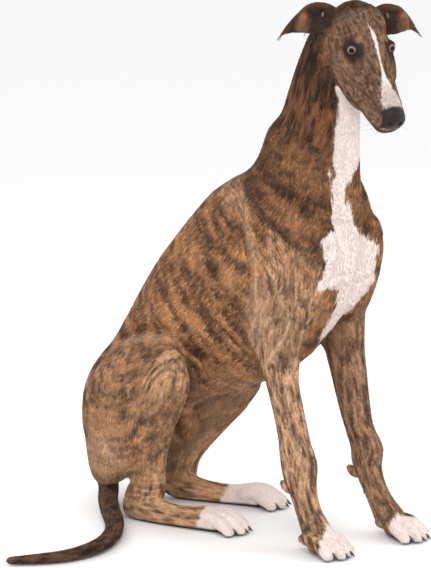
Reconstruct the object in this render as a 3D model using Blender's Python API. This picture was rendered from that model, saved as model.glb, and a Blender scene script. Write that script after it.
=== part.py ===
"""A life-size greyhound, sitting on its haunches with its head turned and bowed.

The frame is metres with +Z up. The dog faces -Y and its left side is +X, so every
left and right below is the dog's own. The body is shaped whole from tapered forms that
run between two profile lines, and from muscles laid over them. It is fused, smoothed and
thinned out, and then parted into its nodes with flat cuts. The head and the feet are
fused again at a finer grain and take the place of the coarse ones.
"""

import math

import bpy
import bmesh
from mathutils import Matrix, Vector

GAP = 0.0003
# Fitted parts stand off a curved neighbour by a little more, so that no facet closes the gap
CLEAR = GAP * 1.3
BODY_GRAIN = 0.0055
HEAD_GRAIN = 0.0024
FOOT_GRAIN = 0.0024
BODY_SMOOTH = 12
HEAD_SMOOTH = 18
FOOT_SMOOTH = 7
NAPE_LEVEL = 0.62
ANKLE_LEVEL = 0.19
BODY_FACES = 5400
HEAD_FACES = 2500
FORE_FOOT_FACES = 640
HIND_FOOT_FACES = 560

# Each station is the middle's x, the front or belly line's y and z, the rear or back
# line's y and z, and the half width, all in metres.

# From the back of the skull to the rump: throat, breastbone and belly in front, nape,
# withers, loin and croup behind
TRUNK = [
    (-0.004, -0.190, 0.955, -0.125, 0.990, 0.034),
    (-0.003, -0.188, 0.900, -0.088, 0.938, 0.044),
    (-0.002, -0.186, 0.850, -0.061, 0.886, 0.048),
    (-0.001, -0.184, 0.793, -0.040, 0.834, 0.052),
    (0.000, -0.182, 0.740, -0.022, 0.788, 0.058),
    (0.000, -0.182, 0.690, 0.004, 0.751, 0.066),
    (0.000, -0.184, 0.640, 0.027, 0.710, 0.080),
    (0.000, -0.186, 0.590, 0.054, 0.682, 0.088),
    (0.000, -0.182, 0.535, 0.091, 0.656, 0.095),
    (0.000, -0.168, 0.475, 0.137, 0.627, 0.099),
    (0.000, -0.142, 0.414, 0.180, 0.585, 0.101),
    (0.000, -0.098, 0.359, 0.223, 0.538, 0.102),
    (0.000, -0.038, 0.308, 0.266, 0.487, 0.102),
    (0.000, 0.030, 0.273, 0.305, 0.431, 0.098),
    (0.000, 0.100, 0.248, 0.340, 0.374, 0.088),
    (-0.006, 0.165, 0.225, 0.370, 0.321, 0.078),
    (-0.018, 0.220, 0.180, 0.402, 0.276, 0.074),
    (-0.032, 0.262, 0.125, 0.418, 0.225, 0.074),
    (-0.042, 0.292, 0.088, 0.416, 0.155, 0.068),
    (-0.048, 0.325, 0.074, 0.395, 0.098, 0.050),
]
TRUNK_YAW = [0] * 14 + [2, 6, 11, 15, 17, 17]
TAIL = [
    (-0.050, 0.380, 0.150, 0.0215),
    (-0.051, 0.379, 0.105, 0.0215),
    (-0.055, 0.372, 0.068, 0.0210),
    (-0.069, 0.350, 0.036, 0.0200),
    (-0.108, 0.3175, 0.0215, 0.0195),
    (-0.162, 0.2645, 0.0195, 0.0187),
    (-0.216, 0.209, 0.0185, 0.0178),
    (-0.272, 0.168, 0.0165, 0.0162),
    (-0.335, 0.146, 0.0145, 0.0140),
    (-0.398, 0.154, 0.0120, 0.0118),
    (-0.446, 0.184, 0.0105, 0.0100),
    (-0.490, 0.230, 0.0085, 0.0080),
]
FORELEG = {
    1: [
        (0.078, -0.150, 0.460, -0.060, 0.450, 0.030),
        (0.080, -0.146, 0.400, -0.040, 0.392, 0.034),
        (0.082, -0.145, 0.350, -0.055, 0.350, 0.030),
        (0.082, -0.151, 0.308, -0.069, 0.308, 0.026),
        (0.082, -0.158, 0.257, -0.084, 0.257, 0.0235),
        (0.082, -0.168, 0.205, -0.101, 0.205, 0.0215),
        (0.082, -0.189, 0.165, -0.120, 0.163, 0.0235),
        (0.082, -0.187, 0.132, -0.124, 0.132, 0.0220),
        (0.082, -0.193, 0.105, -0.138, 0.100, 0.0195),
        (0.083, -0.208, 0.076, -0.158, 0.066, 0.0210),
        (0.084, -0.232, 0.050, -0.175, 0.034, 0.0260),
        (0.085, -0.245, 0.030, -0.185, 0.014, 0.0260),
    ],
    -1: [
        (-0.078, -0.130, 0.460, -0.040, 0.450, 0.030),
        (-0.080, -0.122, 0.400, -0.022, 0.392, 0.034),
        (-0.082, -0.116, 0.350, -0.030, 0.350, 0.030),
        (-0.083, -0.114, 0.308, -0.044, 0.308, 0.026),
        (-0.083, -0.130, 0.245, -0.063, 0.245, 0.0235),
        (-0.083, -0.145, 0.195, -0.074, 0.195, 0.0220),
        (-0.083, -0.157, 0.162, -0.080, 0.158, 0.0245),
        (-0.083, -0.156, 0.126, -0.088, 0.126, 0.0230),
        (-0.084, -0.160, 0.100, -0.104, 0.096, 0.0205),
        (-0.085, -0.170, 0.074, -0.120, 0.062, 0.0215),
        (-0.086, -0.190, 0.050, -0.133, 0.034, 0.0260),
        (-0.087, -0.202, 0.030, -0.143, 0.014, 0.0260),
    ],
}
THIGH = {
    1: [
        (0.000, 0.365, 0.290, 0.418, 0.215, 0.035),
        (0.018, 0.315, 0.315, 0.408, 0.115, 0.052),
        (0.045, 0.255, 0.320, 0.374, 0.058, 0.055),
        (0.075, 0.205, 0.305, 0.300, 0.068, 0.050),
        (0.102, 0.160, 0.285, 0.240, 0.125, 0.042),
        (0.122, 0.128, 0.255, 0.195, 0.180, 0.033),
    ],
    -1: [
        (-0.075, 0.345, 0.303, 0.394, 0.230, 0.035),
        (-0.090, 0.290, 0.333, 0.373, 0.130, 0.055),
        (-0.105, 0.220, 0.350, 0.337, 0.056, 0.058),
        (-0.118, 0.165, 0.350, 0.262, 0.072, 0.052),
        (-0.128, 0.122, 0.333, 0.200, 0.145, 0.042),
        (-0.134, 0.103, 0.298, 0.160, 0.215, 0.033),
    ],
}
SHANK = {
    1: [
        (0.124, 0.130, 0.266, 0.190, 0.266, 0.030),
        (0.120, 0.130, 0.230, 0.212, 0.230, 0.035),
        (0.108, 0.156, 0.184, 0.235, 0.190, 0.033),
        (0.090, 0.194, 0.136, 0.252, 0.152, 0.028),
        (0.064, 0.230, 0.082, 0.284, 0.098, 0.021),
        (0.046, 0.232, 0.048, 0.300, 0.045, 0.021),
        (0.040, 0.245, 0.020, 0.306, 0.018, 0.018),
    ],
    -1: [
        (-0.134, 0.100, 0.312, 0.165, 0.315, 0.030),
        (-0.133, 0.104, 0.280, 0.190, 0.275, 0.036),
        (-0.130, 0.120, 0.238, 0.205, 0.215, 0.034),
        (-0.126, 0.145, 0.190, 0.213, 0.160, 0.029),
        (-0.121, 0.164, 0.142, 0.222, 0.122, 0.023),
        (-0.118, 0.172, 0.098, 0.240, 0.088, 0.0205),
        (-0.118, 0.174, 0.055, 0.260, 0.045, 0.0205),
        (-0.119, 0.205, 0.022, 0.268, 0.018, 0.018),
    ],
}
HIND_FOOT = {
    1: [
        (0.034, 0.300, 0.044, 0.303, 0.010, 0.016),
        (0.042, 0.258, 0.058, 0.262, -0.002, 0.021),
        (0.055, 0.210, 0.045, 0.210, -0.002, 0.0195),
        (0.068, 0.172, 0.040, 0.172, -0.002, 0.0195),
        (0.079, 0.145, 0.041, 0.143, -0.002, 0.022),
        (0.088, 0.122, 0.045, 0.118, -0.002, 0.026),
        (0.095, 0.098, 0.040, 0.094, -0.002, 0.027),
    ],
    -1: [
        (-0.121, 0.264, 0.044, 0.268, 0.010, 0.016),
        (-0.120, 0.230, 0.060, 0.238, -0.002, 0.021),
        (-0.117, 0.190, 0.049, 0.190, -0.002, 0.021),
        (-0.110, 0.145, 0.042, 0.145, -0.002, 0.0205),
        (-0.102, 0.112, 0.043, 0.112, -0.002, 0.023),
        (-0.094, 0.084, 0.046, 0.082, -0.002, 0.026),
        (-0.087, 0.055, 0.040, 0.050, -0.002, 0.027),
    ],
}
# How far each hind leg is turned out, in degrees, and the middle of each foot on the floor
HIND_YAW = {1: 20.0, -1: 11.0}
FORE_PAW = {1: (0.086, -0.230), -1: (-0.088, -0.180)}
HIND_PAW = {1: (0.094, 0.100), -1: (-0.086, 0.056)}
# The left upper arm and elbow stand this much further forward than the right ones
ARM_LEAN = {1: -0.025, -1: 0.0}
# Each toe's name, its place across the foot from the middle outward, and its reach
TOES = (("outer", 1.5, 0.030), ("third", 0.5, 0.044), ("second", -0.5, 0.044), ("inner", -1.5, 0.030))
FORE_TOE_PITCH = 0.0165
HIND_TOE_PITCH = 0.0160
KNUCKLE_HEIGHT = 0.044
CLAW_LENGTH = 0.0185
CLAW_RADIUS = 0.0034

# Head frame: x left, -y along the muzzle, z to the crown, origin midway between the eyes
EYES = Vector((-0.030, -0.231, 0.908))
HEAD_YAW = math.radians(-26)
HEAD_PITCH = math.radians(45)
HEAD = [
    (0.0, 0.116, -0.004, 0.110, -0.040, 0.022),
    (0.0, 0.104, 0.016, 0.095, -0.068, 0.038),
    (0.0, 0.082, 0.030, 0.068, -0.092, 0.046),
    (0.0, 0.050, 0.033, 0.040, -0.096, 0.050),
    (0.0, 0.022, 0.028, 0.018, -0.094, 0.050),
    (0.0, 0.000, 0.020, 0.000, -0.090, 0.0475),
    (0.0, -0.025, 0.010, -0.025, -0.087, 0.0420),
    (0.0, -0.055, 0.002, -0.055, -0.084, 0.0370),
    (0.0, -0.085, -0.002, -0.085, -0.081, 0.0330),
    (0.0, -0.112, -0.004, -0.114, -0.074, 0.0300),
    (0.0, -0.135, -0.006, -0.134, -0.065, 0.0265),
    (0.0, -0.149, -0.017, -0.143, -0.047, 0.018),
]
# Half width of the muzzle at the mouth line, from the mouth's corner round to the front
MOUTH = [
    (0.036, -0.044, -0.064),
    (0.032, -0.075, -0.061),
    (0.029, -0.105, -0.057),
    (0.022, -0.132, -0.051),
    (0.000, -0.146, -0.049),
]
# Ears: upper edge and lower edge from the skull to the tip, in the head frame. The right
# ear is laid back and the left one is thrown forward.
EAR = {
    1: [
        ((0.024, 0.072, 0.004), (0.036, 0.050, -0.018)),
        ((0.036, 0.090, 0.012), (0.048, 0.048, -0.018)),
        ((0.053, 0.091, 0.020), (0.064, 0.038, -0.006)),
        ((0.077, 0.080, 0.025), (0.078, 0.038, 0.000)),
        ((0.098, 0.058, 0.014), (0.094, 0.040, 0.002)),
        ((0.120, 0.030, -0.010), (0.120, 0.030, -0.010)),
    ],
    -1: [
        ((-0.024, 0.080, 0.004), (-0.036, 0.060, -0.024)),
        ((-0.036, 0.102, 0.004), (-0.050, 0.072, -0.034)),
        ((-0.057, 0.117, 0.000), (-0.066, 0.082, -0.048)),
        ((-0.080, 0.121, -0.012), (-0.084, 0.094, -0.058)),
        ((-0.104, 0.112, -0.043), (-0.104, 0.100, -0.066)),
        ((-0.124, 0.096, -0.074), (-0.124, 0.096, -0.074)),
    ],
}
EAR_THICK = 0.0030
EAR_CUP = 0.012
EYE = {1: Vector((0.0342, 0.0085, -0.003)), -1: Vector((-0.0342, 0.0085, -0.003))}
EYE_RADIUS = 0.0115
LID = 0.0022


def clear_scene():
    """Empties the file."""
    for obj in list(bpy.data.objects):
        bpy.data.objects.remove(obj)


def spline(stations, t):
    """Catmull-Rom value of equal-length tuples at t, from 0 at the first to 1 at the last."""
    last = len(stations) - 1
    place = min(max(t, 0.0), 1.0) * last
    i = min(int(place), last - 1)
    u = place - i
    p0, p1 = stations[max(i - 1, 0)], stations[i]
    p2, p3 = stations[i + 1], stations[min(i + 2, last)]
    return [
        0.5 * (2 * b + (c - a) * u + (2 * a - 5 * b + 4 * c - d) * u * u
               + (3 * b - a - 3 * c + d) * u ** 3)
        for a, b, c, d in zip(p0, p1, p2, p3)
    ]


def fullness(t, cap):
    """How full a form is at a place along it, falling to nothing round both its ends."""
    end = min(t, 1 - t) / cap
    return 1.0 if end >= 1 else math.sqrt(max(0.0, 1 - (1 - end) ** 2))


def profile(stations, yaws=None, rings=28, segments=18, cap=0.1, keel=0.0, ridge=0.0):
    """A closed form between a front line and a rear line, with its half width along each section.

    Keel narrows the front half of a section, and ridge the rear half.
    """
    yaws = yaws or [0.0] * len(stations)
    rows = [tuple(s) + (math.radians(y),) for s, y in zip(stations, yaws)]
    bm = bmesh.new()
    bmesh.ops.create_uvsphere(bm, u_segments=segments, v_segments=rings, radius=1)
    for vert in bm.verts:
        t = math.acos(max(-1.0, min(1.0, vert.co.z))) / math.pi
        angle = math.atan2(vert.co.y, vert.co.x)
        pole = math.hypot(vert.co.x, vert.co.y) < 1e-6
        x, fy, fz, ry, rz, half, yaw = spline(rows, t)
        fill = 0.0 if pole else fullness(t, cap)
        mid_y = (fy + ry) / 2
        mid_z = (fz + rz) / 2
        front = math.sin(angle) > 0
        reach = math.sin(angle) * fill
        line_y, line_z = (fy, fz) if front else (ry, rz)
        out_y = (line_y - mid_y) * abs(reach)
        out_z = (line_z - mid_z) * abs(reach)
        pinch = 1 - (keel if front else ridge) * abs(math.sin(angle))
        across = half * pinch * math.cos(angle) * fill
        vert.co = (
            x - out_y * math.tan(yaw) + across * math.cos(yaw),
            mid_y + out_y + across * math.sin(yaw),
            mid_z + out_z,
        )
    bmesh.ops.recalc_face_normals(bm, faces=bm.faces)
    return bm


def tube(path, rings=60, segments=14, cap=0.03):
    """A closed round form along a path of (x, y, z, radius)."""
    bm = bmesh.new()
    bmesh.ops.create_uvsphere(bm, u_segments=segments, v_segments=rings, radius=1)
    for vert in bm.verts:
        t = math.acos(max(-1.0, min(1.0, vert.co.z))) / math.pi
        angle = math.atan2(vert.co.y, vert.co.x)
        here = spline(path, t)
        ahead, behind = spline(path, t + 0.01), spline(path, t - 0.01)
        way = Vector([a - b for a, b in zip(ahead[:3], behind[:3])]).normalized()
        side = way.orthogonal() if abs(way.z) > 0.9 else way.cross((0, 0, 1))
        side.normalize()
        up = side.cross(way)
        pole = math.hypot(vert.co.x, vert.co.y) < 1e-6
        spread = here[3] * (0.0 if pole else fullness(t, cap))
        vert.co = Vector(here[:3]) + side * (spread * math.cos(angle)) + up * (spread * math.sin(angle))
    bmesh.ops.recalc_face_normals(bm, faces=bm.faces)
    return bm


def muscle(start, end, width, depth, segments=14):
    """An ellipsoid whose long axis runs from start to end, with its width as near to X as it can be."""
    start, end = Vector(start), Vector(end)
    way = (end - start).normalized()
    side = Vector((1, 0, 0))
    across = (side - way * side.dot(way)).normalized()
    turn = Matrix((across, way.cross(across), way)).transposed().to_4x4()
    size = Matrix.Diagonal((width, depth, (end - start).length / 2, 1))
    bm = bmesh.new()
    place = Matrix.Translation((start + end) / 2) @ turn @ size
    bmesh.ops.create_uvsphere(bm, u_segments=segments, v_segments=segments, radius=1, matrix=place)
    bmesh.ops.recalc_face_normals(bm, faces=bm.faces)
    return bm


def as_object(name, bm):
    """An object made of a bmesh, which is used up."""
    mesh = bpy.data.meshes.new(name)
    bm.to_mesh(mesh)
    bm.free()
    obj = bpy.data.objects.new(name, mesh)
    bpy.context.scene.collection.objects.link(obj)
    return obj


def remove(obj):
    """Takes an object and its mesh out of the file."""
    mesh = obj.data
    bpy.data.objects.remove(obj)
    bpy.data.meshes.remove(mesh)


def applied(obj):
    """The object with its modifiers made real."""
    graph = bpy.context.evaluated_depsgraph_get()
    mesh = bpy.data.meshes.new_from_object(obj.evaluated_get(graph))
    obj.modifiers.clear()
    old = obj.data
    obj.data = mesh
    bpy.data.meshes.remove(old)
    return obj


def copy_of(obj, name):
    """Another object with a mesh of its own."""
    twin = bpy.data.objects.new(name, obj.data.copy())
    bpy.context.scene.collection.objects.link(twin)
    return twin


def joined(forms):
    """One bmesh of several closed forms, which still cross. The forms are used up."""
    whole = bmesh.new()
    for form in forms:
        mesh = bpy.data.meshes.new("form")
        form.to_mesh(mesh)
        whole.from_mesh(mesh)
        bpy.data.meshes.remove(mesh)
        form.free()
    return whole


def fused(name, forms, grain, smooth, faces):
    """One closed skin round overlapping forms, thinned out to about so many triangles."""
    obj = as_object(name, joined(forms))
    remesh = obj.modifiers.new("fuse", "REMESH")
    remesh.mode = "VOXEL"
    remesh.voxel_size = grain
    soften = obj.modifiers.new("soften", "SMOOTH")
    soften.factor = 0.5
    soften.iterations = smooth
    applied(obj)
    thin = obj.modifiers.new("thin", "DECIMATE")
    thin.ratio = faces / (2 * len(obj.data.polygons))
    thin.use_collapse_triangulate = True
    return applied(obj)


def combine(obj, other, operation):
    """A Boolean of two closed objects, made real. The second is used up."""
    cut = obj.modifiers.new("combine", "BOOLEAN")
    cut.operation = operation
    cut.object = other
    applied(obj)
    remove(other)
    return largest(obj)


def largest(obj):
    """Only the largest closed surface of an object, as triangles."""
    bm = bmesh.new()
    bm.from_mesh(obj.data)
    left = set(bm.verts)
    best, best_size = set(), -1.0
    while left:
        island, edge = set(), [left.pop()]
        while edge:
            vert = edge.pop()
            island.add(vert)
            for link in vert.link_edges:
                other = link.other_vert(vert)
                if other in left:
                    left.discard(other)
                    edge.append(other)
        lows = [min(v.co[i] for v in island) for i in range(3)]
        highs = [max(v.co[i] for v in island) for i in range(3)]
        size = math.dist(lows, highs)
        if size > best_size:
            best, best_size = island, size
    bmesh.ops.delete(bm, geom=[v for v in bm.verts if v not in best], context="VERTS")
    bmesh.ops.remove_doubles(bm, verts=bm.verts, dist=1e-6)
    bmesh.ops.triangulate(bm, faces=bm.faces)
    bm.to_mesh(obj.data)
    bm.free()
    return obj


def grown(obj, by):
    """A copy of a closed object with its skin pushed out by a distance."""
    twin = copy_of(obj, "grown")
    bm = bmesh.new()
    bm.from_mesh(twin.data)
    bm.normal_update()
    for vert, normal in [(v, v.normal.copy()) for v in bm.verts]:
        vert.co += normal * by * max(1.0, vert.calc_shell_factor())
    bm.to_mesh(twin.data)
    bm.free()
    return twin


def prism(outline, low, high, by=0.0, matrix=None):
    """A closed block whose side outline is (y, z) points, from x low to x high, grown by a distance."""
    count = len(outline)
    area = sum(
        outline[i][0] * outline[(i + 1) % count][1] - outline[(i + 1) % count][0] * outline[i][1]
        for i in range(count)
    )
    turn = 1 if area > 0 else -1
    points = []
    for i in range(count):
        here = Vector(outline[i])
        before = (here - Vector(outline[i - 1])).normalized()
        after = (Vector(outline[(i + 1) % count]) - here).normalized()
        first = Vector((before.y, -before.x)) * turn
        second = Vector((after.y, -after.x)) * turn
        mitre = (first + second) / max(0.3, 1 + first.dot(second))
        points.append(here + mitre * by)
    bm = bmesh.new()
    ring = [bm.verts.new((low - by, p.x, p.y)) for p in points]
    face = bm.faces.new(ring)
    grown_out = bmesh.ops.extrude_face_region(bm, geom=[face])
    moved = [v for v in grown_out["geom"] if isinstance(v, bmesh.types.BMVert)]
    bmesh.ops.translate(bm, verts=moved, vec=(high - low + 2 * by, 0, 0))
    bmesh.ops.recalc_face_normals(bm, faces=bm.faces)
    if matrix:
        bmesh.ops.transform(bm, matrix=matrix, verts=bm.verts)
    return as_object("region", bm)


def part_off(whole, name, outline, low, high, matrix=None):
    """Cuts a region off a body as a node of its own, with the gap between them."""
    piece = combine(copy_of(whole, name), prism(outline, low, high, 0.0, matrix), "INTERSECT")
    combine(whole, prism(outline, low, high, GAP, matrix), "DIFFERENCE")
    return piece


def kept(whole, outline, low, high):
    """Keeps only the part of a body inside a region, less the gap."""
    return combine(whole, prism(outline, low, high, -GAP), "INTERSECT")


def rid_of(whole, outline, low, high, by=0.0):
    """Cuts away the part of a body inside a region that is grown by a distance."""
    return combine(whole, prism(outline, low, high, by), "DIFFERENCE")


def forearm_form(s):
    """The foreleg from above the elbow to the pastern."""
    return profile(FORELEG[s], rings=40, cap=0.06)


def wrist_pad(s):
    """The small pad behind the wrist."""
    y = ARM_LEAN[s] * 1.3
    return muscle((s * 0.083, y - 0.078, 0.122), (s * 0.083, y - 0.102, 0.100), 0.010, 0.009)


def fore_leg(s):
    """The foreleg with its shoulder blade, upper arm, breast muscles and elbow."""
    lean = ARM_LEAN[s]
    blade = muscle((s * 0.046, 0.070, 0.655), (s * 0.078, -0.160, 0.560), 0.026, 0.062)
    slope = muscle((s * 0.050, -0.118, 0.692), (s * 0.078, -0.150, 0.520), 0.026, 0.034)
    breast = muscle((s * 0.030, -0.150, 0.600), (s * 0.055, -0.125, 0.400), 0.035, 0.035)
    arm = muscle((s * 0.068, -0.172, 0.606), (s * 0.078, -0.060 + lean, 0.365), 0.031, 0.050)
    triceps = muscle((s * 0.066, 0.060, 0.585), (s * 0.079, -0.035 + lean, 0.350), 0.030, 0.074)
    elbow = muscle((s * 0.080, -0.012 + lean, 0.395), (s * 0.083, -0.045 + lean, 0.335), 0.016, 0.017)
    return [forearm_form(s), blade, slope, breast, arm, triceps, elbow, wrist_pad(s)]


def standing(centre, yaw):
    """Takes a foot's own frame to its place on the floor."""
    return Matrix.Translation((*centre, 0)) @ Matrix.Rotation(math.radians(yaw), 4, "Z")


def paw(centre, yaw, pitch):
    """Four arched toes with their knuckles, and the pads under them."""
    forms = []
    for _, place, reach in TOES:
        x = place * pitch
        knuckle = Vector((x, 0.032 - reach, KNUCKLE_HEIGHT * 0.74))
        tip = Vector((x + place * 0.005, -0.004 - reach, 0.010))
        back = Vector((x * 0.75, 0.075 - reach, KNUCKLE_HEIGHT * 0.62))
        top = knuckle + Vector((0, 0.014, 0.006))
        forms.append(muscle(back, knuckle + Vector((0, -0.008, 0)), 0.0115, 0.0125))
        forms.append(muscle(top, tip + Vector((0, -0.006, -0.004)), 0.0118, 0.0135))
        forms.append(muscle(tip + Vector((0, 0.016, 0)), tip + Vector((0, -0.008, 0)), 0.0105, 0.0100))
    forms.append(muscle((0, 0.034, 0.014), (0, -0.022, 0.014), 0.026, 0.0145))
    for form in forms:
        bmesh.ops.transform(form, matrix=standing(centre, yaw), verts=form.verts)
    return forms


def shank_form(s):
    """The hind leg from the knee to the heel."""
    return profile(SHANK[s], yaws=[HIND_YAW[s]] * len(SHANK[s]), rings=32)


def sole_form(s):
    """The hind foot from the heel to the toes, flat on the floor."""
    return profile(HIND_FOOT[s], yaws=[HIND_YAW[s]] * len(HIND_FOOT[s]), rings=32, cap=0.08)


def hind_leg(s):
    """The folded hind leg."""
    thigh = profile(THIGH[s], yaws=[HIND_YAW[s]] * len(THIGH[s]), cap=0.18)
    return [thigh, shank_form(s), sole_form(s)]


def head_matrix():
    """Takes the head's frame to the dog's."""
    turn = Matrix.Rotation(HEAD_YAW, 4, "Z") @ Matrix.Rotation(HEAD_PITCH, 4, "X")
    return Matrix.Translation(EYES) @ turn


def head_forms():
    """Skull and muzzle, with cheeks, brows, temples and ear roots."""
    forms = [profile(HEAD, rings=44, segments=24, cap=0.08)]
    for s in (1, -1):
        forms.append(muscle((s * 0.030, 0.078, -0.018), (s * 0.037, 0.000, -0.072), 0.0165, 0.030))
        forms.append(muscle((s * 0.029, 0.050, 0.002), (s * 0.032, -0.022, -0.010), 0.0125, 0.0165))
        forms.append(muscle((s * 0.022, 0.100, 0.004), (s * 0.027, 0.025, 0.012), 0.018, 0.020))
        forms.append(muscle((s * 0.030, 0.070, -0.002), (s * 0.046, 0.078, 0.004), 0.014, 0.020))
    for form in forms:
        bmesh.ops.transform(form, matrix=head_matrix(), verts=form.verts)
    return forms


def trunk():
    """Neck, chest, loin and croup."""
    return profile(TRUNK, yaws=TRUNK_YAW, rings=90, segments=36, cap=0.04, keel=0.22, ridge=0.1)


def body_forms():
    """All that is fused into the body."""
    forms = [trunk(), tube(TAIL[:3], rings=20)]
    for s in (1, -1):
        forms += fore_leg(s) + hind_leg(s)
    return forms + head_forms()


def trimmed(form, level, keep_above):
    """A closed form cut off flat at a level, for a finer fusing of one end of it."""
    normal = (0, 0, -1) if keep_above else (0, 0, 1)
    geom = form.verts[:] + form.edges[:] + form.faces[:]
    cut = bmesh.ops.bisect_plane(form, geom=geom, plane_co=(0, 0, level), plane_no=normal, clear_outer=True)
    rim = [e for e in cut["geom_cut"] if isinstance(e, bmesh.types.BMEdge)]
    bmesh.ops.contextual_create(form, geom=rim)
    bmesh.ops.recalc_face_normals(form, faces=form.faces)
    return form


# Cuts. Side outlines are (y, z) points.
HEAD_CUT = [
    (0.060, 1.120),
    (-0.191, 0.860),
    (-0.205, 0.700),
    (-0.60, 0.70),
    (-0.60, 1.20),
    (0.060, 1.200),
]
NECK_CUT = [(0.40, 0.879), (-0.40, 0.540), (-0.40, 1.30), (0.40, 1.30)]
ELBOW_CUT = {
    1: [(-0.35, 0.330), (-0.056, 0.330), (-0.056, -0.05), (-0.35, -0.05)],
    -1: [(-0.35, 0.325), (-0.026, 0.325), (-0.026, -0.05), (-0.35, -0.05)],
}
WRIST_CUT = {
    1: [(-0.35, 0.142), (-0.05, 0.136), (-0.05, -0.05), (-0.35, -0.05)],
    -1: [(-0.35, 0.142), (-0.03, 0.136), (-0.03, -0.05), (-0.35, -0.05)],
}
THIGH_CUT = {
    1: [(0.060, 0.345), (0.46, 0.345), (0.46, -0.05), (0.060, -0.05)],
    -1: [(0.060, 0.362), (0.46, 0.362), (0.46, -0.05), (0.060, -0.05)],
}
THIGH_PLANE = {1: 0.056, -1: -0.086}
# The left thigh's plane is turned about Z by these degrees, at this place along the body
THIGH_TURN = 10.0
THIGH_HINGE = -0.06
ELBOW_PLANE = 0.046
TAIL_TIP_CUT = -0.340
TAIL_MIDDLE_CUT = -0.180
TAIL_BAND = [(0.0, -0.05), (0.6, -0.05), (0.6, 0.2), (0.0, 0.2)]
TAIL_ABOVE = [(0.2, 0.094), (0.6, 0.094), (0.6, 0.3), (0.2, 0.3)]
SHANK_CUT = {
    1: [(0.02, 0.228), (0.165, 0.228), (0.206, 0.205), (0.236, 0.176), (0.256, 0.140), (0.288, 0.098),
        (0.300, 0.066), (0.312, 0.040), (0.312, -0.05), (0.02, -0.05)],
    -1: [(0.02, 0.266), (0.150, 0.266), (0.194, 0.218), (0.215, 0.162), (0.226, 0.124), (0.248, 0.092),
         (0.272, 0.060), (0.284, 0.044), (0.284, -0.05), (0.02, -0.05)],
}
HOCK_CUT = {
    1: [(-0.05, 0.066), (0.285, 0.066), (0.313, 0.044), (0.313, -0.05), (-0.05, -0.05)],
    -1: [(-0.05, 0.066), (0.250, 0.066), (0.280, 0.046), (0.290, -0.05), (-0.05, -0.05)],
}
NOSE_HALF = 0.022
NOSE_CUT = [(-0.122, 0.02), (-0.130, -0.042), (-0.20, -0.042), (-0.20, 0.02)]
# Colour and roughness by the start of a node's name
COLOURS = {
    "torso": ((0.36, 0.25, 0.17), 0.75),
    "neck": ((0.33, 0.23, 0.16), 0.75),
    "head": ((0.34, 0.26, 0.20), 0.75),
    "nose": ((0.035, 0.028, 0.027), 0.45),
    "ear": ((0.25, 0.17, 0.12), 0.75),
    "eye": ((0.42, 0.36, 0.27), 0.10),
    "forearm": ((0.36, 0.27, 0.20), 0.75),
    "fore_foot": ((0.70, 0.64, 0.60), 0.75),
    "thigh": ((0.34, 0.24, 0.17), 0.75),
    "shank": ((0.33, 0.24, 0.17), 0.75),
    "hind_foot": ((0.70, 0.64, 0.60), 0.75),
    "tail": ((0.16, 0.12, 0.10), 0.75),
    "claw": ((0.06, 0.045, 0.04), 0.50),
}
FLOOR = [(-0.6, -0.2), (0.7, -0.2), (0.7, 0.0), (-0.6, 0.0)]


def side_name(s):
    """The word for a side."""
    return "left" if s > 0 else "right"


def eye_axis(s):
    """The way an eye faces in the head's frame."""
    return Vector((0.62 * s, -0.74, 0.25)).normalized()


def placed(name, bm):
    """An object of a form that was made in the head's frame."""
    bmesh.ops.transform(bm, matrix=head_matrix(), verts=bm.verts)
    return as_object(name, bm)


def eye_ball(name, s, radius):
    """A ball round an eye's middle."""
    bm = bmesh.new()
    bmesh.ops.create_uvsphere(bm, u_segments=16, v_segments=10, radius=radius)
    bmesh.ops.translate(bm, verts=bm.verts, vec=EYE[s])
    return placed(name, bm)


def lid_opening(s):
    """An almond-shaped rod along the eye's axis."""
    axis = eye_axis(s)
    across = Vector((0, 0, 1)).cross(axis).normalized()
    up = axis.cross(across)
    turn = Matrix((across, up, axis)).transposed().to_4x4()
    bm = bmesh.new()
    bmesh.ops.create_cone(bm, cap_ends=True, segments=16, radius1=1.0, radius2=1.3, depth=0.03)
    for vert in bm.verts:
        share = abs(vert.co.x) / 1.3
        vert.co.x *= 0.0090
        vert.co.y *= 0.0072 * (1 - 0.25 * share)
    bmesh.ops.translate(bm, verts=bm.verts, vec=(0, 0, 0.0185))
    bmesh.ops.transform(bm, matrix=Matrix.Translation(EYE[s]) @ turn, verts=bm.verts)
    return placed("lid_opening", bm)


def mouth_slit():
    """A thin strip that follows the mouth line round the muzzle and cuts a few millimetres in."""
    path = [Vector(p) for p in MOUTH]
    path += [Vector((-p.x, p.y, p.z)) for p in reversed(path[:-1])]
    bm = bmesh.new()
    rows = []
    for i, place in enumerate(path):
        way = (path[min(i + 1, len(path) - 1)] - path[max(i - 1, 0)]).normalized()
        out = way.cross((0, 0, 1)).normalized()
        if out.dot(Vector((place.x, place.y + 0.09, 0))) < 0:
            out = -out
        inner, outer = place - out * 0.0035, place + out * 0.014
        half = Vector((0, 0, 0.0011))
        corners = (inner - half * 0.4, outer - half, outer + half, inner + half * 0.4)
        rows.append([bm.verts.new(p) for p in corners])
    for before, after in zip(rows, rows[1:]):
        for i in range(4):
            j = (i + 1) % 4
            bm.faces.new((before[i], before[j], after[j], after[i]))
    bm.faces.new(rows[0])
    bm.faces.new(list(reversed(rows[-1])))
    bmesh.ops.recalc_face_normals(bm, faces=bm.faces)
    return placed("mouth_slit", bm)


def nostril(s):
    """The round opening of a nostril."""
    bm = muscle((s * 0.0075, -0.162, -0.030), (s * 0.0105, -0.140, -0.026), 0.0042, 0.0050, segments=10)
    return placed("nostril", bm)


def nostril_slit(s):
    """The slit that runs out from a nostril."""
    bm = muscle((s * 0.010, -0.150, -0.034), (s * 0.024, -0.142, -0.036), 0.0018, 0.0050, segments=8)
    return placed("nostril_slit", bm)


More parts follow.
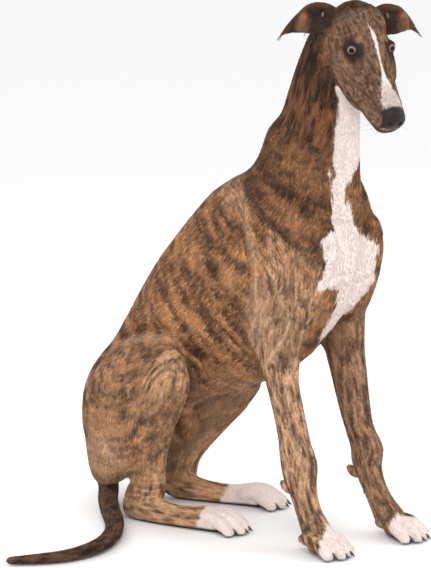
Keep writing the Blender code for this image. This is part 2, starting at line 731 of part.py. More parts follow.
def ear(s):
    """A thin cupped leaf between its upper and lower edges."""
    rows = [upper + lower for upper, lower in EAR[s]]
    bm = bmesh.new()
    bmesh.ops.create_grid(bm, x_segments=8, y_segments=14, size=1)
    for vert in bm.verts:
        u, t = (vert.co.x + 1) / 2, (vert.co.y + 1) / 2
        here = spline(rows, t)
        upper, lower = Vector(here[:3]), Vector(here[3:])
        cup = EAR_CUP * math.sin(math.pi * u) * (1 - t) ** 0.5
        vert.co = upper.lerp(lower, u) + Vector((0, cup, -cup * 0.3))
    bmesh.ops.remove_doubles(bm, verts=bm.verts, dist=1e-5)
    bmesh.ops.recalc_face_normals(bm, faces=bm.faces)
    bmesh.ops.solidify(bm, geom=bm.faces[:], thickness=EAR_THICK)
    bmesh.ops.recalc_face_normals(bm, faces=bm.faces)
    bmesh.ops.triangulate(bm, faces=bm.faces)
    return placed("ear_" + side_name(s), bm)


def head_nodes():
    """The head, its nose, eyes and ears."""
    forms = head_forms() + [trimmed(trunk(), NAPE_LEVEL, True)]
    head = fused("head", forms, HEAD_GRAIN, HEAD_SMOOTH, HEAD_FACES)
    kept(head, HEAD_CUT, -0.3, 0.3)
    nodes = [head]
    for s in (1, -1):
        combine(head, eye_ball("lid", s, EYE_RADIUS + LID), "UNION")
        combine(head, lid_opening(s), "DIFFERENCE")
        combine(head, eye_ball("socket", s, EYE_RADIUS + GAP), "DIFFERENCE")
        nodes.append(eye_ball("eye_" + side_name(s), s, EYE_RADIUS))
    combine(head, mouth_slit(), "DIFFERENCE")
    for s in (1, -1):
        combine(head, nostril(s), "DIFFERENCE")
        combine(head, nostril_slit(s), "DIFFERENCE")
    nodes.append(part_off(head, "nose", NOSE_CUT, -NOSE_HALF, NOSE_HALF, head_matrix()))
    for s in (1, -1):
        nodes.append(combine(ear(s), grown(head, CLEAR), "DIFFERENCE"))
    return nodes


def claw(name, root, way, length, radius):
    """A blunt bent cone."""
    bm = bmesh.new()
    bmesh.ops.create_cone(bm, cap_ends=True, segments=6, radius1=radius, radius2=radius * 0.25, depth=length)
    sides = [e for e in bm.edges if abs(e.verts[0].co.z - e.verts[1].co.z) > length / 2]
    bmesh.ops.subdivide_edges(bm, edges=sides, cuts=2)
    way = Vector(way).normalized()
    side = way.cross((0, 0, 1)).normalized()
    turn = Matrix((side, side.cross(way) * -1, way)).transposed()
    for vert in bm.verts:
        share = vert.co.z / length + 0.5
        place = turn @ Vector((vert.co.x, vert.co.y * 1.3, share * length))
        vert.co = Vector(root) + place + Vector((0, 0, -0.35 * length * share * share))
    bmesh.ops.recalc_face_normals(bm, faces=bm.faces)
    bmesh.ops.triangulate(bm, faces=bm.faces)
    return as_object(name, bm)


def toe_claws(s, which, turn, pitch):
    """The four claws of one foot, rooted in its toes."""
    claws = []
    for toe, place, reach in TOES:
        name = "claw_%s_%s_%s" % (which, side_name(s), toe)
        root = turn @ Vector((place * s * pitch, -reach - 0.004, 0.0125))
        way = turn.to_3x3() @ Vector((place * s * 0.06, -1, -0.12))
        claws.append(claw(name, root, way, CLAW_LENGTH, CLAW_RADIUS))
    return claws


def with_claws(foot, claws):
    """A foot and its claws, which stand off the toes by the gap."""
    return [foot] + [combine(obj, grown(foot, CLEAR), "DIFFERENCE") for obj in claws]


def fore_foot(s):
    """One forefoot with its claws and the dewclaw on its inner side."""
    side = side_name(s)
    x, y = FORE_PAW[s]
    forms = [trimmed(forearm_form(s), ANKLE_LEVEL, False), wrist_pad(s)]
    forms += paw(FORE_PAW[s], 0.0, FORE_TOE_PITCH)
    foot = fused("fore_foot_" + side, forms, FOOT_GRAIN, FOOT_SMOOTH, FORE_FOOT_FACES)
    kept(foot, WRIST_CUT[s], -0.25, 0.25)
    rid_of(foot, FLOOR, -0.3, 0.3)
    claws = toe_claws(s, "fore", standing(FORE_PAW[s], 0.0), FORE_TOE_PITCH)
    root = (x - s * 0.018, y + 0.073, 0.096)
    claws.append(claw("claw_fore_%s_dew" % side, root, (-s * 0.55, -0.50, -0.6), 0.018, 0.0030))
    return with_claws(foot, claws)


def hind_foot(s):
    """One hind foot with its claws."""
    forms = [trimmed(shank_form(s), ANKLE_LEVEL, False), sole_form(s)]
    forms += paw(HIND_PAW[s], HIND_YAW[s], HIND_TOE_PITCH)
    foot = fused("hind_foot_" + side_name(s), forms, FOOT_GRAIN, FOOT_SMOOTH, HIND_FOOT_FACES)
    kept(foot, HOCK_CUT[s], -0.25, 0.25)
    rid_of(foot, FLOOR, -0.3, 0.3)
    claws = toe_claws(s, "hind", standing(HIND_PAW[s], HIND_YAW[s]), HIND_TOE_PITCH)
    return with_claws(foot, claws)


def tail_nodes(torso):
    """The tail in three lengths."""
    tail = as_object("tail_root", tube(TAIL, rings=34, segments=10))
    rid_of(tail, TAIL_ABOVE, -0.3, 0.3, by=GAP)
    rid_of(tail, FLOOR, -0.7, 0.3)
    combine(torso, grown(tail, CLEAR), "DIFFERENCE")
    tip = part_off(tail, "tail_tip", TAIL_BAND, -0.7, TAIL_TIP_CUT)
    middle = part_off(tail, "tail_middle", TAIL_BAND, -0.7, TAIL_MIDDLE_CUT)
    return [tail, middle, tip]


def thigh_turn(s):
    """The turn of the block that parts a thigh from the body."""
    if s < 0:
        return Matrix.Identity(4)
    hinge = Matrix.Translation((0, THIGH_HINGE, 0))
    return hinge.inverted() @ Matrix.Rotation(math.radians(THIGH_TURN), 4, "Z") @ hinge


def body_nodes():
    """Torso and neck, and the limbs down to wrist and hock."""
    torso = fused("torso", body_forms(), BODY_GRAIN, BODY_SMOOTH, BODY_FACES)
    rid_of(torso, HEAD_CUT, -0.3, 0.3)
    nodes = [torso, part_off(torso, "neck", NECK_CUT, -0.3, 0.3)]
    for s in (1, -1):
        side = side_name(s)
        low, high = sorted((s * ELBOW_PLANE, s * 0.25))
        forearm = part_off(torso, "forearm_" + side, ELBOW_CUT[s], low, high)
        rid_of(forearm, WRIST_CUT[s], -0.25, 0.25)
        low, high = sorted((THIGH_PLANE[s], s * 0.30))
        thigh = part_off(torso, "thigh_" + side, THIGH_CUT[s], low, high, thigh_turn(s))
        shank = part_off(thigh, "shank_" + side, SHANK_CUT[s], -0.3, 0.3)
        rid_of(shank, HOCK_CUT[s], -0.25, 0.25)
        nodes += [forearm, thigh, shank]
    return nodes


def finish(obj):
    """Gives a node a material of its own and smooth shading."""
    colour, roughness = next(v for k, v in COLOURS.items() if obj.name.startswith(k))
    material = bpy.data.materials.new(obj.name)
    material.use_nodes = True
    shader = material.node_tree.nodes["Principled BSDF"]
    shader.inputs["Base Color"].default_value = (*colour, 1)
    shader.inputs["Roughness"].default_value = roughness
    shader.inputs["Metallic"].default_value = 0.0
    obj.data.materials.clear()
    obj.data.materials.append(material)
    for face in obj.data.polygons:
        face.use_smooth = True
        face.material_index = 0


if __name__ == "__main__":
    clear_scene()
    parts = body_nodes()
    parts += tail_nodes(parts[0])
    parts += head_nodes()
    for s in (1, -1):
        parts += fore_foot(s) + hind_foot(s)
    lows = [min(v.co[i] for obj in parts for v in obj.data.vertices) for i in range(3)]
    highs = [max(v.co[i] for obj in parts for v in obj.data.vertices) for i in range(3)]
    middle = Vector(((lows[0] + highs[0]) / 2, (lows[1] + highs[1]) / 2, 0))
    for obj in parts:
        obj.data.transform(Matrix.Translation(-middle))
        finish(obj)
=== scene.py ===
"""The looks of a life-size greyhound that sits on its haunches with its head turned and bowed.

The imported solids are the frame. One skin takes the place of all the nodes of flesh: it is
shaped from the same forms as they are, at a finer grain and without their cuts, and lies
inside them by the depth of the coat. The coat is laid over it in small solid tufts that
follow the lie of the hair. Eyes, claws and whiskers are pieces of their own.

The dog's own frame has its middle plane at x = 0: it faces -Y and its left side is +X.
The row frame is that frame, moved so that the whole stands centred on the origin.
"""

from __future__ import annotations

import logging
import math
from dataclasses import dataclass, field
from enum import Enum

import bmesh
import bpy
import numpy as np
from mathutils import Matrix, Vector


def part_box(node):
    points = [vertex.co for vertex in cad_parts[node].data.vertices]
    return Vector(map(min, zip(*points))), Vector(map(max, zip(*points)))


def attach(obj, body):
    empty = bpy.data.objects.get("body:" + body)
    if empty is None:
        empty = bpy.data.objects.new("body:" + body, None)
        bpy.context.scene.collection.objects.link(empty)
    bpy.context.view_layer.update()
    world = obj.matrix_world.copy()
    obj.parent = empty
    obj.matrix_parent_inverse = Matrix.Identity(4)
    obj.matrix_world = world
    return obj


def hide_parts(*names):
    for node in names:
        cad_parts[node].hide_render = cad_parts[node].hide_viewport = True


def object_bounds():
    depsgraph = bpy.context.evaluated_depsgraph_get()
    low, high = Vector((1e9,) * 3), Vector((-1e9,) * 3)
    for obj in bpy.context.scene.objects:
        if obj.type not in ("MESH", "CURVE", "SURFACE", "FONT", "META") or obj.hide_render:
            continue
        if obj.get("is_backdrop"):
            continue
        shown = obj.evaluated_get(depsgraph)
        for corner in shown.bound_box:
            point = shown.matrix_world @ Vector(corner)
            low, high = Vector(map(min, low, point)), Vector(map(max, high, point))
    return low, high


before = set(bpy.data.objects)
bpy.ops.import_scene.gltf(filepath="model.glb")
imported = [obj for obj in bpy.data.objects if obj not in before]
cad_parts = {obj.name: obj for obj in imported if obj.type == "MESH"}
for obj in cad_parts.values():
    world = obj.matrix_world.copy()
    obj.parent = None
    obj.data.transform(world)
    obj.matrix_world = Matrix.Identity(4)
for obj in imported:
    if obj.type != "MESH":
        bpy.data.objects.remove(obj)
CAD_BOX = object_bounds()
LOG = logging.getLogger("greyhound")

Row = tuple[float, ...]
Form = bmesh.types.BMesh
LEFT, RIGHT = 1, -1
SIDE_WORDS = {LEFT: "left", RIGHT: "right"}
FLOOR_GAP = 0.0003
POLE_RADIUS = 1e-6
OUT_OF_REACH = 9.0

# What a cell's place and a seed are mixed with, to give the cell a random value
CELL_PRIMES = np.array((73856093, 19349663, 83492791))
SEED_PRIME = 26544357
MIX_PRIME = 1274126177

# Each toe's place across the foot, in toe widths, and how far it reaches ahead
TOES = ((-1.5, 0.03), (-0.5, 0.044), (0.5, 0.044), (1.5, 0.03))

# Fine forms of the face in the head's frame, the same on both sides: line, reach and height
FACE_LINES = (
    # Cheekbone, and the hollow under it
    ([(0.036, -0.012, -0.026), (0.046, 0.022, -0.034), (0.052, 0.058, -0.036)], 0.014, 0.003),
    ([(0.034, -0.022, -0.048), (0.044, 0.01, -0.056), (0.05, 0.045, -0.06)], 0.014, -0.0022),
    # The crest over the brow, and the groove down the forehead
    ([(0.014, -0.012, 0.02), (0.024, 0.016, 0.026), (0.026, 0.045, 0.028)], 0.012, 0.0022),
    ([(0.002, 0.01, 0.024), (0.002, 0.04, 0.034), (0.002, 0.08, 0.034)], 0.01, -0.0016),
    # The fold of the lip, and the edge of the muzzle's bridge
    ([(0.034, -0.06, -0.058), (0.031, -0.09, -0.052), (0.027, -0.118, -0.047)], 0.01, 0.0018),
    ([(0.024, -0.04, -0.012), (0.02, -0.075, -0.01), (0.017, -0.105, -0.01)], 0.012, 0.0014),
)


class Region(Enum):
    """The stretches of the body that the coat is laid on, each a coat piece of its own."""

    HEAD = "head"
    NECK = "neck"
    FLANK_LEFT = "flank_left"
    FLANK_RIGHT = "flank_right"
    FORELEGS = "forelegs"
    HAUNCH_LEFT = "haunch_left"
    HAUNCH_RIGHT = "haunch_right"
    TAIL = "tail"


# Shaping


def spline(stations: list[Row], t: float) -> list[float]:
    """Catmull-Rom value of equal-length rows.

    Args:
        stations: The rows to pass through.
        t: The place, from 0 at the first row to 1 at the last.

    Returns:
        The row at that place.
    """
    last = len(stations) - 1
    place = min(max(t, 0.0), 1.0) * last
    i = min(int(place), last - 1)
    u = place - i
    p0, p1 = stations[max(i - 1, 0)], stations[i]
    p2, p3 = stations[i + 1], stations[min(i + 2, last)]
    return [
        0.5 * (2 * b + (c - a) * u + (2 * a - 5 * b + 4 * c - d) * u * u
               + (3 * b - a - 3 * c + d) * u ** 3)
        for a, b, c, d in zip(p0, p1, p2, p3)
    ]


def rounded(t: float, cap: float) -> float:
    """How full a form is at a place, falling to nothing round both its ends."""
    end = min(t, 1 - t) / cap
    return 1.0 if end >= 1 else math.sqrt(max(0.0, 1 - (1 - end) ** 2))


def polar(place: Vector) -> tuple[float, float, bool]:
    """Where a point of a unit sphere lies.

    Args:
        place: The point.

    Returns:
        Its share of the way from pole to pole, its angle round, and whether it is a pole.
    """
    t = math.acos(max(-1.0, min(1.0, place.z))) / math.pi
    return t, math.atan2(place.y, place.x), math.hypot(place.x, place.y) < POLE_RADIUS


def profile(
    stations: list[Row],
    yaws: list[float] | None = None,
    rings: int = 28,
    segments: int = 18,
    cap: float = 0.1,
    keel: float = 0.0,
    ridge: float = 0.0,
) -> Form:
    """A closed form between a front line and a rear line.

    Args:
        stations: Rows of middle x, front y and z, rear y and z, and half width.
        yaws: The turn of each section about Z, in degrees.
        rings: Sections along the form.
        segments: Points round each section.
        cap: The share of the length that each end takes to round off.
        keel: How much the front half of a section narrows.
        ridge: How much the rear half narrows.

    Returns:
        The form, with its faces outward.
    """
    yaws = yaws or [0.0] * len(stations)
    rows = [tuple(s) + (math.radians(y),) for s, y in zip(stations, yaws)]
    bm = bmesh.new()
    bmesh.ops.create_uvsphere(bm, u_segments=segments, v_segments=rings, radius=1)
    for vert in bm.verts:
        t, angle, pole = polar(vert.co)
        x, fy, fz, ry, rz, half, yaw = spline(rows, t)
        fill = 0.0 if pole else rounded(t, cap)
        front = math.sin(angle) > 0
        line = (fy, fz) if front else (ry, rz)
        reach = abs(math.sin(angle)) * fill
        out_y = (line[0] - (fy + ry) / 2) * reach
        out_z = (line[1] - (fz + rz) / 2) * reach
        pinch = 1 - (keel if front else ridge) * abs(math.sin(angle))
        across = half * pinch * math.cos(angle) * fill
        vert.co = (
            x - out_y * math.tan(yaw) + across * math.cos(yaw),
            (fy + ry) / 2 + out_y + across * math.sin(yaw),
            (fz + rz) / 2 + out_z,
        )
    bmesh.ops.recalc_face_normals(bm, faces=bm.faces)
    return bm


def tube(path: list[Row], rings: int = 60, segments: int = 14, cap: float = 0.03) -> Form:
    """A closed round form along a path.

    Args:
        path: Rows of x, y, z and radius.
        rings: Sections along the path.
        segments: Points round each section.
        cap: The share of the length that each end takes to round off.

    Returns:
        The form, with its faces outward.
    """
    bm = bmesh.new()
    bmesh.ops.create_uvsphere(bm, u_segments=segments, v_segments=rings, radius=1)
    for vert in bm.verts:
        t, angle, pole = polar(vert.co)
        here, ahead, behind = spline(path, t), spline(path, t + 0.01), spline(path, t - 0.01)
        way = Vector([a - b for a, b in zip(ahead[:3], behind[:3])]).normalized()
        side = way.orthogonal() if abs(way.z) > 0.9 else way.cross((0, 0, 1))
        side.normalize()
        spread = here[3] * (0.0 if pole else rounded(t, cap))
        vert.co = Vector(here[:3])
        vert.co += (side * math.cos(angle) + side.cross(way) * math.sin(angle)) * spread
    bmesh.ops.recalc_face_normals(bm, faces=bm.faces)
    return bm


def muscle(start: Row, end: Row, width: float, depth: float, segments: int = 14) -> Form:
    """An ellipsoid whose long axis runs from start to end.

    Args:
        start: One end.
        end: The other end.
        width: Half width, as near to X as the axis lets it.
        depth: Half depth across the width.
        segments: Points round it.

    Returns:
        The form, with its faces outward.
    """
    a, b = Vector(start), Vector(end)
    way = (b - a).normalized()
    side = Vector((1, 0, 0))
    across = (side - way * side.dot(way)).normalized()
    turn = Matrix((across, way.cross(across), way)).transposed().to_4x4()
    size = Matrix.Diagonal((width, depth, (b - a).length / 2, 1))
    bm = bmesh.new()
    place = Matrix.Translation((a + b) / 2) @ turn @ size
    bmesh.ops.create_uvsphere(bm, u_segments=segments, v_segments=segments, radius=1, matrix=place)
    bmesh.ops.recalc_face_normals(bm, faces=bm.faces)
    return bm


def trimmed(form: Form, level: float, keep_above: bool) -> Form:
    """Cuts a closed form off flat at a level.

    Args:
        form: The form, which is changed.
        level: The height of the cut.
        keep_above: Whether the upper part stays.

    Returns:
        The form.
    """
    normal = (0, 0, -1) if keep_above else (0, 0, 1)
    geom = form.verts[:] + form.edges[:] + form.faces[:]
    cut = bmesh.ops.bisect_plane(form, geom=geom, plane_co=(0, 0, level), plane_no=normal, clear_outer=True)
    rim = [e for e in cut["geom_cut"] if isinstance(e, bmesh.types.BMEdge)]
    bmesh.ops.contextual_create(form, geom=rim)
    bmesh.ops.recalc_face_normals(form, faces=form.faces)
    return form


def as_object(name: str, bm: Form) -> bpy.types.Object:
    """Makes an object of a bmesh, which is used up."""
    mesh = bpy.data.meshes.new(name)
    bm.to_mesh(mesh)
    bm.free()
    obj = bpy.data.objects.new(name, mesh)
    bpy.context.scene.collection.objects.link(obj)
    return obj


def remove(obj: bpy.types.Object) -> None:
    """Takes an object and its mesh out of the file."""
    mesh = obj.data
    bpy.data.objects.remove(obj)
    bpy.data.meshes.remove(mesh)


def surface(mesh: bpy.types.Mesh) -> tuple[np.ndarray, np.ndarray]:
    """A mesh's vertices and their normals, one row for each."""
    count = len(mesh.vertices)
    places, normals = np.empty(count * 3), np.empty(count * 3)
    mesh.vertices.foreach_get("co", places)
    mesh.vertices.foreach_get("normal", normals)
    return places.reshape(-1, 3), normals.reshape(-1, 3)


def applied(obj: bpy.types.Object) -> bpy.types.Object:
    """Makes an object's modifiers real, and gives the object back."""
    graph = bpy.context.evaluated_depsgraph_get()
    mesh = bpy.data.meshes.new_from_object(obj.evaluated_get(graph))
    obj.modifiers.clear()
    old = obj.data
    obj.data = mesh
    bpy.data.meshes.remove(old)
    return obj


def joined(name: str, forms: list[Form | bpy.types.Object]) -> bpy.types.Object:
    """Puts closed forms into one object, still crossing. The forms are used up."""
    whole = bmesh.new()
    for form in forms:
        if isinstance(form, bpy.types.Object):
            whole.from_mesh(form.data)
            remove(form)
            continue
        mesh = bpy.data.meshes.new("form")
        form.to_mesh(mesh)
        whole.from_mesh(mesh)
        bpy.data.meshes.remove(mesh)
        form.free()
    return as_object(name, whole)


def fused(obj: bpy.types.Object, grain: float, smooth: int, levels: int = 0) -> bpy.types.Object:
    """Makes one closed skin round the crossing forms of an object.

    Args:
        obj: The object, which is changed.
        grain: The size of the skin's faces.
        smooth: How many times the skin is smoothed.
        levels: How many times its faces are then divided.

    Returns:
        The object.
    """
    remesh = obj.modifiers.new("fuse", "REMESH")
    remesh.mode = "VOXEL"
    remesh.voxel_size = grain
    soften = obj.modifiers.new("soften", "SMOOTH")
    soften.factor = 0.5
    soften.iterations = smooth
    if levels:
        divide = obj.modifiers.new("divide", "SUBSURF")
        divide.levels = divide.render_levels = levels
    return applied(obj)


def cut_away(obj: bpy.types.Object, cutter: bpy.types.Object, operation: str = "DIFFERENCE") -> None:
    """Cuts or joins one closed object with another, which is used up."""
    cut = obj.modifiers.new("cut", "BOOLEAN")
    cut.operation = operation
    cut.object = cutter
    applied(obj)
    remove(cutter)


# The body's sub-assemblies


@dataclass
class Trunk:
    """Neck, chest, loin and croup as one form, from the skull to the rump."""

    stations: list[Row] = field(default_factory=lambda: [
        (-0.004, -0.19, 0.955, -0.125, 0.99, 0.034),
        (-0.003, -0.188, 0.9, -0.088, 0.938, 0.044),
        (-0.002, -0.186, 0.85, -0.061, 0.886, 0.048),
        (-0.001, -0.184, 0.793, -0.04, 0.834, 0.052),
        (0.0, -0.182, 0.74, -0.022, 0.788, 0.058),
        (0.0, -0.182, 0.69, 0.006, 0.756, 0.066),
        (0.0, -0.184, 0.64, 0.025, 0.708, 0.08),
        (0.0, -0.186, 0.59, 0.05, 0.678, 0.088),
        (0.0, -0.182, 0.535, 0.091, 0.656, 0.095),
        (0.0, -0.168, 0.475, 0.137, 0.627, 0.099),
        (0.0, -0.142, 0.414, 0.18, 0.585, 0.101),
        (0.0, -0.098, 0.359, 0.223, 0.538, 0.102),
        (0.0, -0.038, 0.308, 0.266, 0.487, 0.102),
        (0.0, 0.03, 0.273, 0.305, 0.431, 0.098),
        (0.0, 0.1, 0.248, 0.34, 0.374, 0.088),
        (-0.006, 0.165, 0.225, 0.37, 0.321, 0.078),
        (-0.018, 0.22, 0.18, 0.402, 0.276, 0.074),
        (-0.032, 0.262, 0.125, 0.418, 0.225, 0.074),
        (-0.042, 0.292, 0.088, 0.416, 0.155, 0.068),
        (-0.048, 0.325, 0.074, 0.395, 0.098, 0.05),
    ])
    yaws: list[float] = field(default_factory=lambda: [0] * 14 + [2, 6, 11, 15, 17, 17])
    nape_level: float = 0.62

    def form(self) -> Form:
        """The trunk's form."""
        return profile(self.stations, self.yaws, rings=90, segments=36, cap=0.04, keel=0.22, ridge=0.1)

    def groin(self) -> list[Form]:
        """Scrotum and sheath."""
        return [
            muscle((-0.017, 0.214, 0.196), (-0.019, 0.19, 0.138), 0.0165, 0.02),
            muscle((0.006, 0.218, 0.198), (0.008, 0.196, 0.141), 0.0165, 0.02),
            muscle((0.0, 0.185, 0.222), (0.0, 0.07, 0.272), 0.013, 0.013),
        ]


@dataclass
class Tail:
    """The tail, which leaves the croup and lies on the floor to the dog's right."""

    path: list[Row] = field(default_factory=lambda: [
        (-0.05, 0.38, 0.15, 0.0215),
        (-0.051, 0.379, 0.105, 0.0215),
        (-0.055, 0.372, 0.068, 0.021),
        (-0.069, 0.35, 0.036, 0.02),
        (-0.108, 0.3175, 0.0215, 0.0195),
        (-0.162, 0.2645, 0.0195, 0.0187),
        (-0.216, 0.209, 0.0185, 0.0178),
        (-0.272, 0.168, 0.0165, 0.0162),
        (-0.335, 0.146, 0.0145, 0.014),
        (-0.398, 0.154, 0.012, 0.0118),
        (-0.446, 0.184, 0.0105, 0.01),
        (-0.49, 0.23, 0.0085, 0.008),
    ])

    def form(self) -> Form:
        """The tail's form."""
        return tube(self.path, rings=120, segments=20)


@dataclass
class Foreleg:
    """One foreleg with its shoulder blade, upper arm, elbow and paw."""

    side: int
    stations: list[Row]
    paw: tuple[float, float]
    lean: float
    ankle_level: float = 0.19
    toe_height: float = 0.044
    toe_width: float = 0.0165

    def coarse(self) -> list[Form]:
        """The forms down to the wrist, for the body's grain."""
        s, lean = self.side, self.lean
        return [
            profile(self.stations, rings=40, cap=0.06),
            muscle((s * 0.046, 0.062, 0.652), (s * 0.078, -0.16, 0.56), 0.026, 0.056),
            muscle((s * 0.05, -0.118, 0.692), (s * 0.078, -0.15, 0.52), 0.026, 0.034),
            muscle((s * 0.03, -0.15, 0.6), (s * 0.055, -0.125, 0.4), 0.035, 0.035),
            muscle((s * 0.068, -0.172, 0.606), (s * 0.078, -0.06 + lean, 0.365), 0.031, 0.05),
            muscle((s * 0.066, 0.06, 0.585), (s * 0.079, -0.035 + lean, 0.35), 0.03, 0.074),
            muscle((s * 0.08, -0.012 + lean, 0.395), (s * 0.083, -0.045 + lean, 0.335), 0.016, 0.017),
        ]

    def fine(self) -> list[Form]:
        """The forms of the wrist and the foot, for a finer grain."""
        s, lean = self.side, self.lean * 1.3
        leg = trimmed(profile(self.stations, rings=40, cap=0.06), self.ankle_level, False)
        pad = muscle((s * 0.083, -0.078 + lean, 0.122), (s * 0.083, -0.102 + lean, 0.1), 0.01, 0.009)
        return [leg, pad] + toes(self.paw, 0.0, self.toe_height, self.toe_width)


@dataclass
class Hindleg:
    """One folded hind leg: thigh, shank, and the foot flat on the floor."""

    side: int
    yaw: float
    thigh: list[Row]
    shank: list[Row]
    foot: list[Row]
    paw: tuple[float, float]
    ankle_level: float = 0.19
    toe_height: float = 0.044
    toe_width: float = 0.016

    def limb(self, stations: list[Row], cap: float) -> Form:
        """One stretch of the leg, turned out with it."""
        return profile(stations, [self.yaw] * len(stations), rings=32, cap=cap)

    def coarse(self) -> list[Form]:
        """The forms of thigh and shank, for the body's grain."""
        return [self.limb(self.thigh, 0.18), self.limb(self.shank, 0.1), self.limb(self.foot, 0.08)]

    def fine(self) -> list[Form]:
        """The forms of the hock and the foot, for a finer grain."""
        shank = trimmed(self.limb(self.shank, 0.1), self.ankle_level, False)
        forms = [shank, self.limb(self.foot, 0.08)]
        return forms + toes(self.paw, self.yaw, self.toe_height, self.toe_width)


def toes(centre: tuple[float, float], yaw: float, height: float, wide: float) -> list[Form]:
    """Four arched toes with their knuckles, and the pads under them.

    Args:
        centre: The foot's middle on the floor.
        yaw: The way it points, in degrees.
        height: The height of the knuckles.
        wide: The distance from toe to toe.

    Returns:
        The forms.
    """
    turn = Matrix.Translation((*centre, 0)) @ Matrix.Rotation(math.radians(yaw), 4, "Z")
    forms = []
    for place, reach in TOES:
        x = place * wide
        knuckle = Vector((x, -reach + 0.032, height * 0.74))
        tip = Vector((x + place * 0.005, -reach - 0.004, 0.01))
        back = Vector((x * 0.75, -reach + 0.075, height * 0.62))
        for rear, front, width, depth in (
            (back, knuckle + Vector((0, -0.008, 0)), 0.0115, 0.0125),
            (knuckle + Vector((0, 0.014, 0.006)), tip + Vector((0, -0.006, -0.004)), 0.0118, 0.0135),
            (tip + Vector((0, 0.016, 0)), tip + Vector((0, -0.008, 0)), 0.0105, 0.01),
        ):
            forms.append(muscle(rear, front, width, depth))
    forms.append(muscle((0, 0.034, 0.014), (0, -0.022, 0.014), 0.026, 0.0145))
    for form in forms:
        bmesh.ops.transform(form, matrix=turn, verts=form.verts)
    return forms


